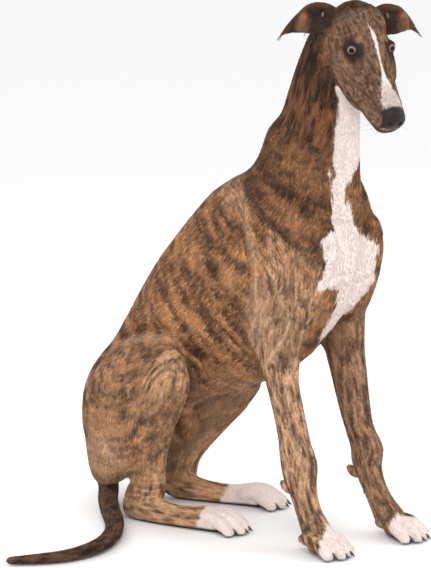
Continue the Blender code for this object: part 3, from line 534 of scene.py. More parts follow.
@dataclass
class Head:
    """The head in its own frame: x left, -y along the muzzle, z to the crown, from between the eyes."""

    eyes: Row = (-0.03, -0.231, 0.908)
    yaw: float = -26.0
    pitch: float = 45.0
    stations: list[Row] = field(default_factory=lambda: [
        (0.0, 0.116, -0.004, 0.11, -0.04, 0.022),
        (0.0, 0.104, 0.016, 0.095, -0.068, 0.038),
        (0.0, 0.082, 0.03, 0.068, -0.092, 0.046),
        (0.0, 0.05, 0.033, 0.04, -0.096, 0.05),
        (0.0, 0.022, 0.028, 0.018, -0.094, 0.05),
        (0.0, 0.0, 0.02, 0.0, -0.09, 0.0475),
        (0.0, -0.025, 0.01, -0.025, -0.087, 0.042),
        (0.0, -0.055, 0.002, -0.055, -0.084, 0.037),
        (0.0, -0.085, -0.002, -0.085, -0.081, 0.033),
        (0.0, -0.112, -0.004, -0.114, -0.074, 0.03),
        (0.0, -0.135, -0.006, -0.134, -0.065, 0.0265),
        (0.0, -0.149, -0.017, -0.143, -0.047, 0.018),
    ])
    mouth: list[Row] = field(default_factory=lambda: [
        (0.036, -0.044, -0.064),
        (0.032, -0.075, -0.061),
        (0.029, -0.105, -0.057),
        (0.022, -0.132, -0.051),
        (0.0, -0.146, -0.049),
    ])
    eye: Row = (0.0342, 0.0085, -0.003)
    left_eye_out: float = 0.003
    eye_radius: float = 0.0115
    lid: float = 0.0022

    def matrix(self) -> Matrix:
        """Takes the head's frame to the dog's."""
        turn = Matrix.Rotation(math.radians(self.yaw), 4, "Z")
        nod = Matrix.Rotation(math.radians(self.pitch), 4, "X")
        return Matrix.Translation(self.eyes) @ (turn @ nod)

    def eye_place(self, side: int) -> Vector:
        """The middle of an eye in the head's frame."""
        out = self.left_eye_out if side == LEFT else 0.0
        return Vector((self.eye[0] * side + out, self.eye[1], self.eye[2]))

    def gaze(self, side: int) -> Vector:
        """The way an eye faces in the head's frame."""
        return Vector((-0.62, -0.72, 0.32) if side == RIGHT else (0.22, -0.78, 0.56)).normalized()

    def forms(self) -> list[Form]:
        """Skull, cheeks, brows and muzzle."""
        forms = [profile(self.stations, rings=60, segments=36, cap=0.08)]
        for s in (LEFT, RIGHT):
            forms += [
                # Cheek, orbit, temple, the root of the ear and the jaw
                muscle((s * 0.03, 0.078, -0.018), (s * 0.037, 0.0, -0.072), 0.0165, 0.03),
                muscle((s * 0.029, 0.05, 0.002), (s * 0.032, -0.022, -0.01), 0.0125, 0.0165),
                muscle((s * 0.022, 0.1, 0.004), (s * 0.027, 0.025, 0.012), 0.018, 0.02),
                muscle((s * 0.03, 0.07, -0.002), (s * 0.046, 0.078, 0.004), 0.014, 0.02),
                muscle((s * 0.034, 0.042, -0.07), (s * 0.026, -0.08, -0.066), 0.0135, 0.0165),
            ]
        # The left orbit stands further out, under the eye that shows at the outline
        forms.append(muscle((0.036, 0.045, -0.004), (0.036, -0.052, -0.03), 0.0125, 0.016))
        for form in forms:
            bmesh.ops.transform(form, matrix=self.matrix(), verts=form.verts)
        return forms

    def placed(self, name: str, bm: Form) -> bpy.types.Object:
        """An object of a form that was made in the head's frame."""
        bmesh.ops.transform(bm, matrix=self.matrix(), verts=bm.verts)
        return as_object(name, bm)

    def lid_ball(self, side: int) -> bpy.types.Object:
        """The swelling of the closed lids over an eye."""
        bm = bmesh.new()
        bmesh.ops.create_uvsphere(bm, u_segments=28, v_segments=20, radius=self.eye_radius + self.lid)
        bmesh.ops.translate(bm, verts=bm.verts, vec=self.eye_place(side))
        return self.placed("lid", bm)

    def lid_opening(self, side: int) -> bpy.types.Object:
        """An almond-shaped rod that opens the lids."""
        gaze = self.gaze(side)
        across = Vector((0, 0, 1)).cross(gaze).normalized()
        turn = Matrix((across, gaze.cross(across), gaze)).transposed().to_4x4()
        bm = bmesh.new()
        bmesh.ops.create_cone(bm, cap_ends=True, segments=24, radius1=1.0, radius2=1.3, depth=0.03)
        for vert in bm.verts:
            share = abs(vert.co.x) / 1.3
            vert.co.x *= 0.009
            vert.co.y *= 0.0072 * (1 - 0.25 * share)
        bmesh.ops.translate(bm, verts=bm.verts, vec=(0, 0, 0.021))
        bmesh.ops.transform(bm, matrix=Matrix.Translation(self.eye_place(side)) @ turn, verts=bm.verts)
        return self.placed("opening", bm)

    def features(self, places: np.ndarray) -> np.ndarray:
        """How far the face's fine forms lift the skin.

        Args:
            places: Rows of x, y and z in the dog's own frame.

        Returns:
            One distance for each row.
        """
        back = np.array(self.matrix().inverted())
        local = places @ back[:3, :3].T + back[:3, 3]
        local[:, 0] = np.abs(local[:, 0])
        lift = np.zeros(len(places))
        for line, reach, height in FACE_LINES:
            lift += height * eased(near_line(local, line, reach), 0.0, 1.0)
        return lift

    def mouth_slit(self) -> bpy.types.Object:
        """A thin strip that follows the mouth line round the muzzle and cuts a few millimetres in."""
        path = [Vector(p) for p in self.mouth]
        path += [Vector((-p.x, p.y, p.z)) for p in reversed(path[:-1])]
        bm = bmesh.new()
        rows = []
        for i, place in enumerate(path):
            way = (path[min(i + 1, len(path) - 1)] - path[max(i - 1, 0)]).normalized()
            out = way.cross((0, 0, 1)).normalized()
            if out.dot(Vector((place.x, place.y + 0.09, 0))) < 0:
                out = -out
            inner, outer = place - out * 0.004, place + out * 0.014
            half = Vector((0, 0, 0.0014))
            rows.append([
                bm.verts.new(p)
                for p in (inner - half * 0.5, outer - half, outer + half, inner + half * 0.5)
            ])
        for before, after in zip(rows, rows[1:]):
            for i in range(4):
                j = (i + 1) % 4
                bm.faces.new((before[i], before[j], after[j], after[i]))
        bm.faces.new(rows[0])
        bm.faces.new(list(reversed(rows[-1])))
        bmesh.ops.recalc_face_normals(bm, faces=bm.faces)
        return self.placed("mouth", bm)

    def nostrils(self, side: int) -> list[bpy.types.Object]:
        """A nostril and the slit that runs out from it."""
        s = side
        hole = muscle((s * 0.0075, -0.162, -0.03), (s * 0.0105, -0.138, -0.026), 0.0044, 0.0052, 14)
        slit = muscle((s * 0.01, -0.15, -0.034), (s * 0.024, -0.142, -0.036), 0.0022, 0.005, 12)
        return [self.placed("nostril", hole), self.placed("slit", slit)]

    def build(self, trunk: Trunk, grain: float, smooth: int) -> bpy.types.Object:
        """The head with the neck that it grows from, its lids, mouth and nostrils.

        Args:
            trunk: The trunk, whose upper end goes into the head.
            grain: The size of its faces.
            smooth: How many times it is smoothed.

        Returns:
            The head, still without ears.
        """
        forms = self.forms() + [trimmed(trunk.form(), trunk.nape_level, True)]
        head = fused(joined("head", forms), grain, smooth)
        for s in (LEFT, RIGHT):
            cut_away(head, self.lid_ball(s), "UNION")
            cut_away(head, self.lid_opening(s))
        cut_away(head, self.mouth_slit())
        for s in (LEFT, RIGHT):
            for cutter in self.nostrils(s):
                cut_away(head, cutter)
        return head


@dataclass
class Ear:
    """One ear as a thin cupped leaf, between its upper and lower edges in the head's frame."""

    side: int
    edges: list[tuple[Row, Row]]
    thick: float = 0.0034
    cup: float = 0.012

    def rows(self) -> list[Row]:
        """Both edges as rows of six."""
        return [tuple(upper) + tuple(lower) for upper, lower in self.edges]

    def near_flap(self, places: np.ndarray) -> np.ndarray:
        """How much places in the head's frame belong to the ear's inner flap or its knob."""
        near = [near_line(places, [start, end], reach) for start, end, reach in self.folds()]
        return np.max(near, axis=0)

    def folds(self) -> list[tuple[Row, Row, float]]:
        """The inner flap, and the knob at the ear's root.

        Returns:
            Both ends of each in the head's frame, and how far it reaches.
        """
        found = []
        for place, low, high, reach in ((3.1, 0.42, 0.76, 0.0165), (1.75, 0.34, 0.46, 0.0062)):
            at = place / (len(self.edges) - 1)
            here = spline(self.rows(), at)
            upper, lower = Vector(here[:3]), Vector(here[3:])
            lift = Vector((0, -0.0035, 0.0045))
            first, last = upper.lerp(lower, low) + lift, upper.lerp(lower, high) + lift
            found.append((tuple(first), tuple(last), reach))
        return found

    def inner(self, head: Head) -> list[Form]:
        """The forms of the inner flap and the knob."""
        made = []
        for start, end, reach in self.folds():
            a, b = head.matrix() @ Vector(start), head.matrix() @ Vector(end)
            middle, half = (a + b) / 2, (b - a) / 2
            half = half.normalized() * (half.length + reach * 0.5)
            made.append(muscle(middle - half, middle + half, reach * 0.62, reach * 0.5))
        return made

    def form(self, head: Head) -> Form:
        """The ear's leaf, with its wall."""
        rows = self.rows()
        bm = bmesh.new()
        bmesh.ops.create_grid(bm, x_segments=16, y_segments=28, size=1)
        for vert in bm.verts:
            u, t = (vert.co.x + 1) / 2, (vert.co.y + 1) / 2
            here = spline(rows, t)
            cup = self.cup * math.sin(math.pi * u) * (1 - t) ** 0.5
            vert.co = Vector(here[:3]).lerp(Vector(here[3:]), u) + Vector((0, cup, -cup * 0.3))
        bmesh.ops.remove_doubles(bm, verts=bm.verts, dist=1e-5)
        bmesh.ops.recalc_face_normals(bm, faces=bm.faces)
        bmesh.ops.solidify(bm, geom=bm.faces[:], thickness=self.thick)
        bmesh.ops.recalc_face_normals(bm, faces=bm.faces)
        bmesh.ops.transform(bm, matrix=head.matrix(), verts=bm.verts)
        return bm


@dataclass
class Greyhound:
    """The whole dog: what it is made of, and where it stands in the row frame."""

    trunk: Trunk = field(default_factory=Trunk)
    tail: Tail = field(default_factory=Tail)
    head: Head = field(default_factory=Head)
    forelegs: list[Foreleg] = field(default_factory=lambda: [
        Foreleg(LEFT, [
            (0.078, -0.15, 0.46, -0.06, 0.45, 0.03),
            (0.08, -0.146, 0.4, -0.04, 0.392, 0.034),
            (0.082, -0.145, 0.35, -0.055, 0.35, 0.03),
            (0.082, -0.151, 0.308, -0.069, 0.308, 0.026),
            (0.082, -0.158, 0.257, -0.084, 0.257, 0.0235),
            (0.082, -0.168, 0.205, -0.101, 0.205, 0.0215),
            (0.082, -0.189, 0.165, -0.12, 0.163, 0.0235),
            (0.082, -0.187, 0.132, -0.124, 0.132, 0.022),
            (0.082, -0.193, 0.105, -0.138, 0.1, 0.0195),
            (0.083, -0.208, 0.076, -0.158, 0.066, 0.021),
            (0.084, -0.232, 0.05, -0.175, 0.034, 0.026),
            (0.085, -0.245, 0.03, -0.185, 0.014, 0.026),
        ], (0.086, -0.23), -0.025),
        Foreleg(RIGHT, [
            (-0.078, -0.13, 0.46, -0.04, 0.45, 0.03),
            (-0.08, -0.122, 0.4, -0.022, 0.392, 0.034),
            (-0.082, -0.116, 0.35, -0.03, 0.35, 0.03),
            (-0.083, -0.114, 0.308, -0.044, 0.308, 0.026),
            (-0.083, -0.13, 0.245, -0.063, 0.245, 0.0235),
            (-0.083, -0.145, 0.195, -0.074, 0.195, 0.022),
            (-0.083, -0.157, 0.162, -0.08, 0.158, 0.0245),
            (-0.083, -0.156, 0.126, -0.088, 0.126, 0.023),
            (-0.084, -0.16, 0.1, -0.104, 0.096, 0.0205),
            (-0.085, -0.17, 0.074, -0.12, 0.062, 0.0215),
            (-0.086, -0.19, 0.05, -0.133, 0.034, 0.026),
            (-0.087, -0.202, 0.03, -0.143, 0.014, 0.026),
        ], (-0.088, -0.18), 0.0),
    ])
    hindlegs: list[Hindleg] = field(default_factory=lambda: [
        Hindleg(LEFT, 20.0, [
            (0.0, 0.365, 0.29, 0.418, 0.215, 0.035),
            (0.018, 0.315, 0.315, 0.408, 0.115, 0.052),
            (0.045, 0.255, 0.32, 0.374, 0.058, 0.055),
            (0.075, 0.205, 0.305, 0.3, 0.068, 0.05),
            (0.102, 0.16, 0.285, 0.24, 0.125, 0.042),
            (0.122, 0.128, 0.255, 0.195, 0.18, 0.033),
        ], [
            (0.124, 0.13, 0.266, 0.19, 0.266, 0.03),
            (0.12, 0.13, 0.23, 0.212, 0.23, 0.035),
            (0.108, 0.156, 0.184, 0.235, 0.19, 0.033),
            (0.09, 0.194, 0.136, 0.252, 0.152, 0.028),
            (0.064, 0.23, 0.082, 0.284, 0.098, 0.021),
            (0.046, 0.232, 0.048, 0.3, 0.045, 0.021),
            (0.04, 0.245, 0.02, 0.306, 0.018, 0.018),
        ], [
            (0.034, 0.3, 0.044, 0.303, 0.01, 0.016),
            (0.042, 0.258, 0.058, 0.262, -0.002, 0.021),
            (0.055, 0.21, 0.045, 0.21, -0.002, 0.0195),
            (0.068, 0.172, 0.04, 0.172, -0.002, 0.0195),
            (0.079, 0.145, 0.041, 0.143, -0.002, 0.022),
            (0.088, 0.122, 0.045, 0.118, -0.002, 0.026),
            (0.095, 0.098, 0.04, 0.094, -0.002, 0.027),
        ], (0.094, 0.1)),
        Hindleg(RIGHT, 11.0, [
            (-0.075, 0.345, 0.303, 0.394, 0.23, 0.035),
            (-0.09, 0.29, 0.333, 0.373, 0.13, 0.055),
            (-0.105, 0.22, 0.35, 0.337, 0.056, 0.058),
            (-0.118, 0.165, 0.35, 0.262, 0.072, 0.052),
            (-0.128, 0.122, 0.333, 0.2, 0.145, 0.042),
            (-0.134, 0.103, 0.298, 0.16, 0.215, 0.033),
        ], [
            (-0.134, 0.1, 0.312, 0.165, 0.315, 0.03),
            (-0.133, 0.104, 0.28, 0.19, 0.275, 0.036),
            (-0.13, 0.12, 0.238, 0.205, 0.215, 0.034),
            (-0.126, 0.145, 0.19, 0.213, 0.16, 0.029),
            (-0.121, 0.164, 0.142, 0.222, 0.122, 0.023),
            (-0.118, 0.172, 0.098, 0.24, 0.088, 0.0205),
            (-0.118, 0.174, 0.055, 0.26, 0.045, 0.0205),
            (-0.119, 0.205, 0.022, 0.268, 0.018, 0.018),
        ], [
            (-0.121, 0.264, 0.044, 0.268, 0.01, 0.016),
            (-0.12, 0.23, 0.06, 0.238, -0.002, 0.021),
            (-0.117, 0.19, 0.049, 0.19, -0.002, 0.021),
            (-0.11, 0.145, 0.042, 0.145, -0.002, 0.0205),
            (-0.102, 0.112, 0.043, 0.112, -0.002, 0.023),
            (-0.094, 0.084, 0.046, 0.082, -0.002, 0.026),
            (-0.087, 0.055, 0.04, 0.05, -0.002, 0.027),
        ], (-0.086, 0.056)),
    ])
    ears: list[Ear] = field(default_factory=lambda: [
        Ear(LEFT, [
            ((0.024, 0.072, 0.004), (0.036, 0.05, -0.018)),
            ((0.036, 0.09, 0.012), (0.048, 0.048, -0.018)),
            ((0.053, 0.091, 0.02), (0.064, 0.038, -0.006)),
            ((0.077, 0.08, 0.025), (0.078, 0.038, 0.0)),
            ((0.098, 0.058, 0.014), (0.094, 0.04, 0.002)),
            ((0.12, 0.03, -0.01), (0.12, 0.03, -0.01)),
        ]),
        Ear(RIGHT, [
            ((-0.024, 0.08, 0.004), (-0.036, 0.06, -0.024)),
            ((-0.036, 0.102, 0.004), (-0.05, 0.072, -0.034)),
            ((-0.057, 0.117, 0.0), (-0.066, 0.082, -0.048)),
            ((-0.08, 0.121, -0.012), (-0.084, 0.094, -0.058)),
            ((-0.104, 0.112, -0.043), (-0.104, 0.1, -0.066)),
            ((-0.124, 0.096, -0.074), (-0.124, 0.096, -0.074)),
        ]),
    ])

    def shift(self) -> Vector:
        """The move from the dog's own frame to the row frame, read from the right eye's solid."""
        low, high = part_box("eye_right")
        place = (low + high) / 2 - self.head.matrix() @ self.head.eye_place(RIGHT)
        return Vector((place.x, place.y, 0.0))


@dataclass(frozen=True)
class Crease:
    """A ridge or groove along a line on the sides of the body, seen square on from the side.

    The line's points are y and z. It works where the skin faces outward and lies beyond the
    reach, on the sides that are named.
    """

    line: tuple[tuple[float, float], ...]
    width: float
    height: float
    reach: float = 0.0
    sides: tuple[int, ...] = (LEFT, RIGHT)
    # A pale crease gets a painted highlight along its crest
    pale: bool = False
    steps: int = 24

    def weight(self, places: np.ndarray, normals: np.ndarray) -> np.ndarray:
        """How much each point of the skin belongs to the line.

        Args:
            places: Rows of x, y and z in the dog's own frame.
            normals: The skin's normals there.

        Returns:
            One value from 0 to 1 for each row.
        """
        out = np.zeros(len(places))
        line = np.array([spline(list(self.line), i / self.steps) for i in range(self.steps + 1)])
        margin = 3 * self.width
        low, high = line.min(axis=0) - margin, line.max(axis=0) + margin
        near = (places[:, 1:] > low).all(axis=1) & (places[:, 1:] < high).all(axis=1)
        for side in self.sides:
            beyond = places[:, 0] * side > self.reach
            on = np.flatnonzero(near & beyond & (normals[:, 0] * side > 0.05))
            flat = places[on, 1:]
            gap = np.full(len(on), OUT_OF_REACH)
            place = np.zeros(len(on))
            for number, (a, b) in enumerate(zip(line, line[1:])):
                step = b - a
                share = np.clip(((flat - a) @ step) / (step @ step), 0, 1)
                far = np.hypot(*(flat - a - share[:, None] * step).T)
                closer = far < gap
                gap = np.where(closer, far, gap)
                place = np.where(closer, (number + share) / self.steps, place)
            fade = np.clip(np.minimum(place, 1 - place) * 5, 0, 1)
            facing = eased(normals[on, 0] * side, 0.05, 0.45)
            out[on] += np.exp(-(gap / self.width) ** 2) * fade * facing
        return out


CREASES = (
    # Folds of loose skin behind the shoulder, from the withers to the elbow
    Crease(((0.006, 0.645), (-0.004, 0.605), (-0.016, 0.561), (-0.026, 0.525), (-0.035, 0.453),
            (-0.053, 0.402)),
           0.0055, 0.0052, pale=True),
    Crease(((0.02, 0.625), (0.006, 0.575), (-0.006, 0.52), (-0.014, 0.45), (-0.026, 0.4)),
           0.0065, -0.004),
    Crease(((-0.016, 0.6), (-0.03, 0.555), (-0.042, 0.505), (-0.056, 0.45), (-0.068, 0.405)),
           0.006, -0.0034),
    Crease(((-0.016, 0.561), (-0.051, 0.51), (-0.087, 0.462), (-0.112, 0.43)),
           0.005, 0.004, pale=True),
    Crease(((-0.11, 0.44), (-0.104, 0.4), (-0.08, 0.362), (-0.06, 0.33)),
           0.005, 0.0032, pale=True),
    Crease(((-0.028, 0.505), (-0.034, 0.46), (-0.03, 0.42), (-0.018, 0.385)),
           0.0045, 0.0032, pale=True),
    Crease(((-0.07, 0.53), (-0.094, 0.48), (-0.112, 0.45)), 0.006, -0.003),
    # Blade, deltoid and triceps
    Crease(((0.046, 0.665), (-0.02, 0.625), (-0.08, 0.59), (-0.13, 0.565)), 0.011, 0.0026),
    Crease(((0.02, 0.69), (-0.06, 0.65), (-0.12, 0.625)), 0.012, -0.003),
    Crease(((-0.06, 0.6), (-0.09, 0.54), (-0.105, 0.47), (-0.11, 0.41)), 0.01, -0.003),
    # Neck: the groove of the throat
    Crease(((-0.15, 0.87), (-0.14, 0.79), (-0.138, 0.72), (-0.13, 0.67)), 0.012, -0.003),
    Crease(((-0.11, 0.85), (-0.095, 0.78), (-0.08, 0.72), (-0.07, 0.68)), 0.013, 0.002),
    # Ribs, barely seen under the coat
    Crease(((0.095, 0.59), (0.07, 0.5), (0.02, 0.4)), 0.009, 0.0012),
    Crease(((0.125, 0.56), (0.1, 0.47), (0.05, 0.37)), 0.009, 0.0012),
    Crease(((0.155, 0.53), (0.13, 0.44), (0.08, 0.34)), 0.009, 0.0012),
    Crease(((0.185, 0.5), (0.165, 0.42), (0.12, 0.33)), 0.009, 0.0012),
    # Haunch: the crest over the thigh, the hollow above it and the fold at the knee
    Crease(((0.365, 0.29), (0.3, 0.328), (0.22, 0.352), (0.15, 0.35)),
           0.007, 0.0042, 0.03, (RIGHT,), True),
    Crease(((0.35, 0.315), (0.29, 0.345), (0.22, 0.368), (0.15, 0.37)),
           0.008, -0.005, 0.03, (RIGHT,)),
    Crease(((0.12, 0.335), (0.112, 0.3), (0.118, 0.27), (0.13, 0.245)),
           0.006, -0.0024, 0.05, (RIGHT,)),
    Crease(((0.33, 0.27), (0.312, 0.205), (0.28, 0.15), (0.235, 0.115)),
           0.01, -0.0048, 0.09, (RIGHT,)),
    Crease(((0.26, 0.31), (0.21, 0.25), (0.19, 0.19), (0.2, 0.15)),
           0.013, -0.0036, 0.09, (RIGHT,)),
    Crease(((0.345, 0.25), (0.3, 0.19), (0.26, 0.14)), 0.01, -0.003, 0.05, (LEFT,)),
    # Shank: the hollow before the heel's tendon, and the wrinkles of the hock
    Crease(((0.196, 0.165), (0.206, 0.128), (0.216, 0.095), (0.226, 0.07)),
           0.0055, -0.0036, 0.05, (RIGHT,)),
    Crease(((0.214, 0.18), (0.234, 0.13), (0.256, 0.092), (0.268, 0.068)),
           0.0055, -0.0036, 0.03, (LEFT,)),
    Crease(((0.168, 0.085), (0.195, 0.08), (0.222, 0.086)), 0.0028, -0.0016, 0.05, (RIGHT,)),
    Crease(((0.17, 0.072), (0.196, 0.066), (0.226, 0.07)), 0.0028, -0.0018, 0.05, (RIGHT,)),
    Crease(((0.176, 0.06), (0.2, 0.055), (0.23, 0.056)), 0.0028, -0.0016, 0.05, (RIGHT,)),
    # Forearm: the groove between the two bellies of muscle, and the tendons of the wrist
    Crease(((-0.075, 0.35), (-0.08, 0.3), (-0.092, 0.245), (-0.104, 0.2)),
           0.005, -0.0022, 0.05, (RIGHT,)),
    Crease(((-0.104, 0.34), (-0.108, 0.29), (-0.116, 0.235), (-0.124, 0.19)),
           0.005, 0.0014, 0.05, (RIGHT,)),
    Crease(((-0.1, 0.35), (-0.105, 0.3), (-0.117, 0.245), (-0.129, 0.2)),
           0.005, -0.0022, 0.05, (LEFT,)),
    Crease(((-0.1, 0.185), (-0.1, 0.16), (-0.104, 0.13)), 0.004, -0.002, 0.05, (RIGHT,)),
    Crease(((-0.125, 0.185), (-0.128, 0.16), (-0.134, 0.13)), 0.004, -0.002, 0.05, (LEFT,)),
)


@dataclass
class Skin:
    """The one skin over the whole dog."""

    dog: Greyhound
    body_grain: float = 0.0055
    body_smooth: int = 12
    head_grain: float = 0.0022
    head_smooth: int = 20
    foot_grain: float = 0.0024
    foot_smooth: int = 7
    grain: float = 0.0017
    smooth: int = 4
    faces: int = 190000
    inset: float = 0.001

    def body(self) -> bpy.types.Object:
        """Trunk and limbs down to wrist and hock."""
        forms = [self.dog.trunk.form()] + self.dog.trunk.groin()
        for leg in self.dog.forelegs + self.dog.hindlegs:
            forms += leg.coarse()
        return fused(joined("body", forms), self.body_grain, self.body_smooth, levels=1)

    def build(self) -> bpy.types.Object:
        """Fuses body, head, ears, feet and tail into one closed skin.

        Returns:
            The skin, in the dog's own frame.
        """
        parts = [self.body(), self.dog.head.build(self.dog.trunk, self.head_grain, self.head_smooth)]
        for leg in self.dog.forelegs + self.dog.hindlegs:
            parts.append(fused(joined("foot", leg.fine()), self.foot_grain, self.foot_smooth))
        for ear in self.dog.ears:
            parts += [ear.form(self.dog.head)] + ear.inner(self.dog.head)
        parts.append(self.dog.tail.form())
        skin = fused(joined("skin", parts), self.grain, self.smooth)
        self.sculpt(skin)
        self.draw_in(skin)
        thin = skin.modifiers.new("thin", "DECIMATE")
        thin.ratio = self.faces / (2 * len(skin.data.polygons))
        applied(skin)
        LOG.info("skin has %d faces", len(skin.data.polygons))
        for face in skin.data.polygons:
            face.use_smooth = True
        return skin

    def sculpt(self, skin: bpy.types.Object) -> None:
        """Works the folds, muscles and tendons into the skin."""
        mesh = skin.data
        places, normals = surface(mesh)
        lift = sum(crease.height * crease.weight(places, normals) for crease in CREASES)
        lift += self.dog.head.features(places)
        mesh.vertices.foreach_set("co", (places + normals * lift[:, None]).ravel())
        mesh.update()

    def draw_in(self, skin: bpy.types.Object) -> None:
        """Draws the skin in by the coat's depth, and flattens what rests on the floor."""
        mesh = skin.data
        places, normals = surface(mesh)
        places = places - normals * self.inset
        places[:, 2] = np.maximum(places[:, 2], FLOOR_GAP)
        mesh.vertices.foreach_set("co", places.ravel())


def srgb(red: int, green: int, blue: int) -> np.ndarray:
    """A linear colour from the eight-bit values that a colour picker shows."""
    share = np.array((red, green, blue)) / 255.0
    return np.where(share <= 0.04045, share / 12.92, ((share + 0.055) / 1.055) ** 2.4)


def eased(value: np.ndarray, low: float, high: float) -> np.ndarray:
    """A smooth step from 0 at low to 1 at high."""
    share = np.clip((value - low) / (high - low), 0.0, 1.0)
    return share * share * (3 - 2 * share)


def tint(colour: np.ndarray, toward: np.ndarray, weight: np.ndarray) -> None:
    """Moves colours toward another, by a weight for each row."""
    colour += (toward - colour) * weight[:, None]


def near_line(places: np.ndarray, line: list[Row], reach: float) -> np.ndarray:
    """How near places are to a line.

    Args:
        places: Rows of three coordinates.
        line: The line's points.
        reach: The distance at which nothing of it is left.

    Returns:
        One value for each row: 1 close to the line, 0 beyond its reach.
    """
    gap = np.full(len(places), OUT_OF_REACH)
    for a, b in zip(line, line[1:]):
        step = np.array(b) - np.array(a)
        share = np.clip(((places - a) @ step) / (step @ step), 0, 1)
        gap = np.minimum(gap, np.linalg.norm(places - a - share[:, None] * step, axis=1))
    return np.clip((reach - gap) / (reach * 0.6), 0, 1)


def mottle(places: np.ndarray, seed: int) -> np.ndarray:
    """Smooth random values from -1 to 1, a unit apart.

    Args:
        places: Rows of three coordinates.
        seed: Which of the random fields.

    Returns:
        One value for each row.
    """
    floor = np.floor(places)
    share = places - floor
    share = share * share * (3 - 2 * share)
    cell = floor.astype(np.int64)
    total = np.zeros(len(places))
    for corner in range(8):
        step = np.array([(corner >> axis) & 1 for axis in range(3)])
        at = cell + step
        mixed = np.bitwise_xor.reduce(at * CELL_PRIMES, axis=1) ^ (seed * SEED_PRIME)
        mixed = (mixed ^ (mixed >> 13)) * MIX_PRIME
        value = ((mixed ^ (mixed >> 16)) & 0xFFFF) / 65535.0
        total += value * np.where(step, share, 1 - share).prod(axis=1)
    return total * 2 - 1


def clouds(places: np.ndarray, seed: int, octaves: int = 3) -> np.ndarray:
    """Mottle in several sizes, each half as large and half as strong as the last.

    Args:
        places: Rows of three coordinates.
        seed: Which of the random fields.
        octaves: How many sizes.

    Returns:
        One value from -1 to 1 for each row.
    """
    total, weight = np.zeros(len(places)), 0.0
    for octave in range(octaves):
        total += mottle(places * 2.0 ** octave, seed + octave) * 0.5 ** octave
        weight += 0.5 ** octave
    return total / weight


@dataclass
class Pattern:
    """How the coat is marked on one stretch of the body.

    Attributes:
        light: The ground colour.
        dark: The colour of the bands.
        along: The size of the bands along the stretch, in metres.
        around: Their size round it.
        bias: How much more there is of dark than of light.
        speckle: How much single hairs break the bands up.
        sharp: How wide the change from light to dark is.
    """

    light: np.ndarray
    dark: np.ndarray
    along: float
    around: float
    bias: float = 0.0
    speckle: float = 0.2
    sharp: float = 0.22


@dataclass
class Chart:
    """A stretch of the body round a middle line, which gives the lie, the bands and the unwrap.

    Rows are the middle's x, y and z, the half depth's y and z, and the half width.

    Attributes:
        name: The stretch's name.
        region: The coat piece that it belongs to.
        rows: The middle line's rows.
        pattern: How it is marked.
        length: The mean length of its tufts.
        width: Their mean width.
        backward: Whether the hair lies against the order of the rows.
        lie: The way of the hair, where it doesn't follow the middle line.
        samples: How many places on the middle line are measured from.
    """

    name: str
    region: Region
    rows: list[Row]
    pattern: Pattern
    length: float = 0.008
    width: float = 0.0012
    backward: bool = False
    lie: Row | None = None
    samples: int = 64

    def __post_init__(self) -> None:
        """Works out the middle line and the frame of each sample."""
        table = np.array([spline(self.rows, i / (self.samples - 1)) for i in range(self.samples)])
        self.middle = table[:, :3]
        self.way = np.gradient(self.middle, axis=0)
        steps = np.linalg.norm(self.way, axis=1)
        self.way /= steps[:, None]
        self.arc = np.concatenate(([0.0], np.cumsum((steps[1:] + steps[:-1]) / 2)))
        depth = np.column_stack((np.zeros(self.samples), table[:, 3:5]))
        depth -= self.way * (depth * self.way).sum(axis=1)[:, None]
        self.deep = np.linalg.norm(depth, axis=1)
        self.front = depth / self.deep[:, None]
        self.side = np.cross(self.way, self.front)
        self.wide = table[:, 5]

    def measure(self, places: np.ndarray) -> dict[str, np.ndarray]:
        """Where places lie on the chart.

        Args:
            places: Rows of x, y and z in the dog's own frame.

        Returns:
            The way along, the angle round, the arc length, the distance in half widths, and the
            offset from the middle line.
        """
        nearest = np.empty(len(places), int)
        for start in range(0, len(places), 20000):
            part = places[start:start + 20000]
            gap = (self.middle ** 2).sum(axis=1)[None] - 2 * part @ self.middle.T
            nearest[start:start + 20000] = gap.argmin(axis=1)
        out = places - self.middle[nearest]
        run = (out * self.way[nearest]).sum(axis=1)
        a = (out * self.front[nearest]).sum(axis=1)
        b = (out * self.side[nearest]).sum(axis=1)
        end = np.where((nearest == 0) | (nearest == self.samples - 1), np.abs(run), 0.0)
        far = np.sqrt((a / self.deep[nearest]) ** 2 + (b / self.wide[nearest]) ** 2
                      + (end / self.wide[nearest]) ** 2)
        sign = -1.0 if self.backward else 1.0
        way = self.way[nearest] * sign if self.lie is None else np.tile(self.lie, (len(places), 1))
        return {
            "way": way,
            "angle": np.arctan2(b, a),
            "arc": self.arc[nearest] + run,
            "far": far,
            "offset": np.column_stack((a, b)),
        }


def profile_rows(stations: list[Row]) -> list[Row]:
    """Chart rows from a form's stations."""
    return [
        (s[0], (s[1] + s[3]) / 2, (s[2] + s[4]) / 2, (s[1] - s[3]) / 2, (s[2] - s[4]) / 2, s[5])
        for s in stations
    ]


def tube_rows(path: list[Row]) -> list[Row]:
    """Chart rows from a tube's path."""
    return [(p[0], p[1], p[2], 0.02 * p[3], p[3], p[3]) for p in path]


def head_rows(head: Head) -> list[Row]:
    """Chart rows of the head, from the nape to the nose, in the dog's own frame."""
    rows = []
    for s in head.stations:
        middle = head.matrix() @ Vector((0, (s[1] + s[3]) / 2, (s[2] + s[4]) / 2))
        depth = head.matrix().to_3x3() @ Vector((0, (s[1] - s[3]) / 2, (s[2] - s[4]) / 2))
        rows.append((middle.x, middle.y, middle.z, depth.y, depth.z, s[5]))
    return rows


def ear_rows(head: Head, ear: Ear) -> list[Row]:
    """Chart rows of an ear, from its root to its tip, in the dog's own frame."""
    rows = []
    for upper, lower in ear.edges[:-1]:
        a, b = head.matrix() @ Vector(upper), head.matrix() @ Vector(lower)
        middle, half = (a + b) / 2, (a - b) / 2
        rows.append((middle.x, middle.y, middle.z, half.y, half.z, 0.008))
    return rows


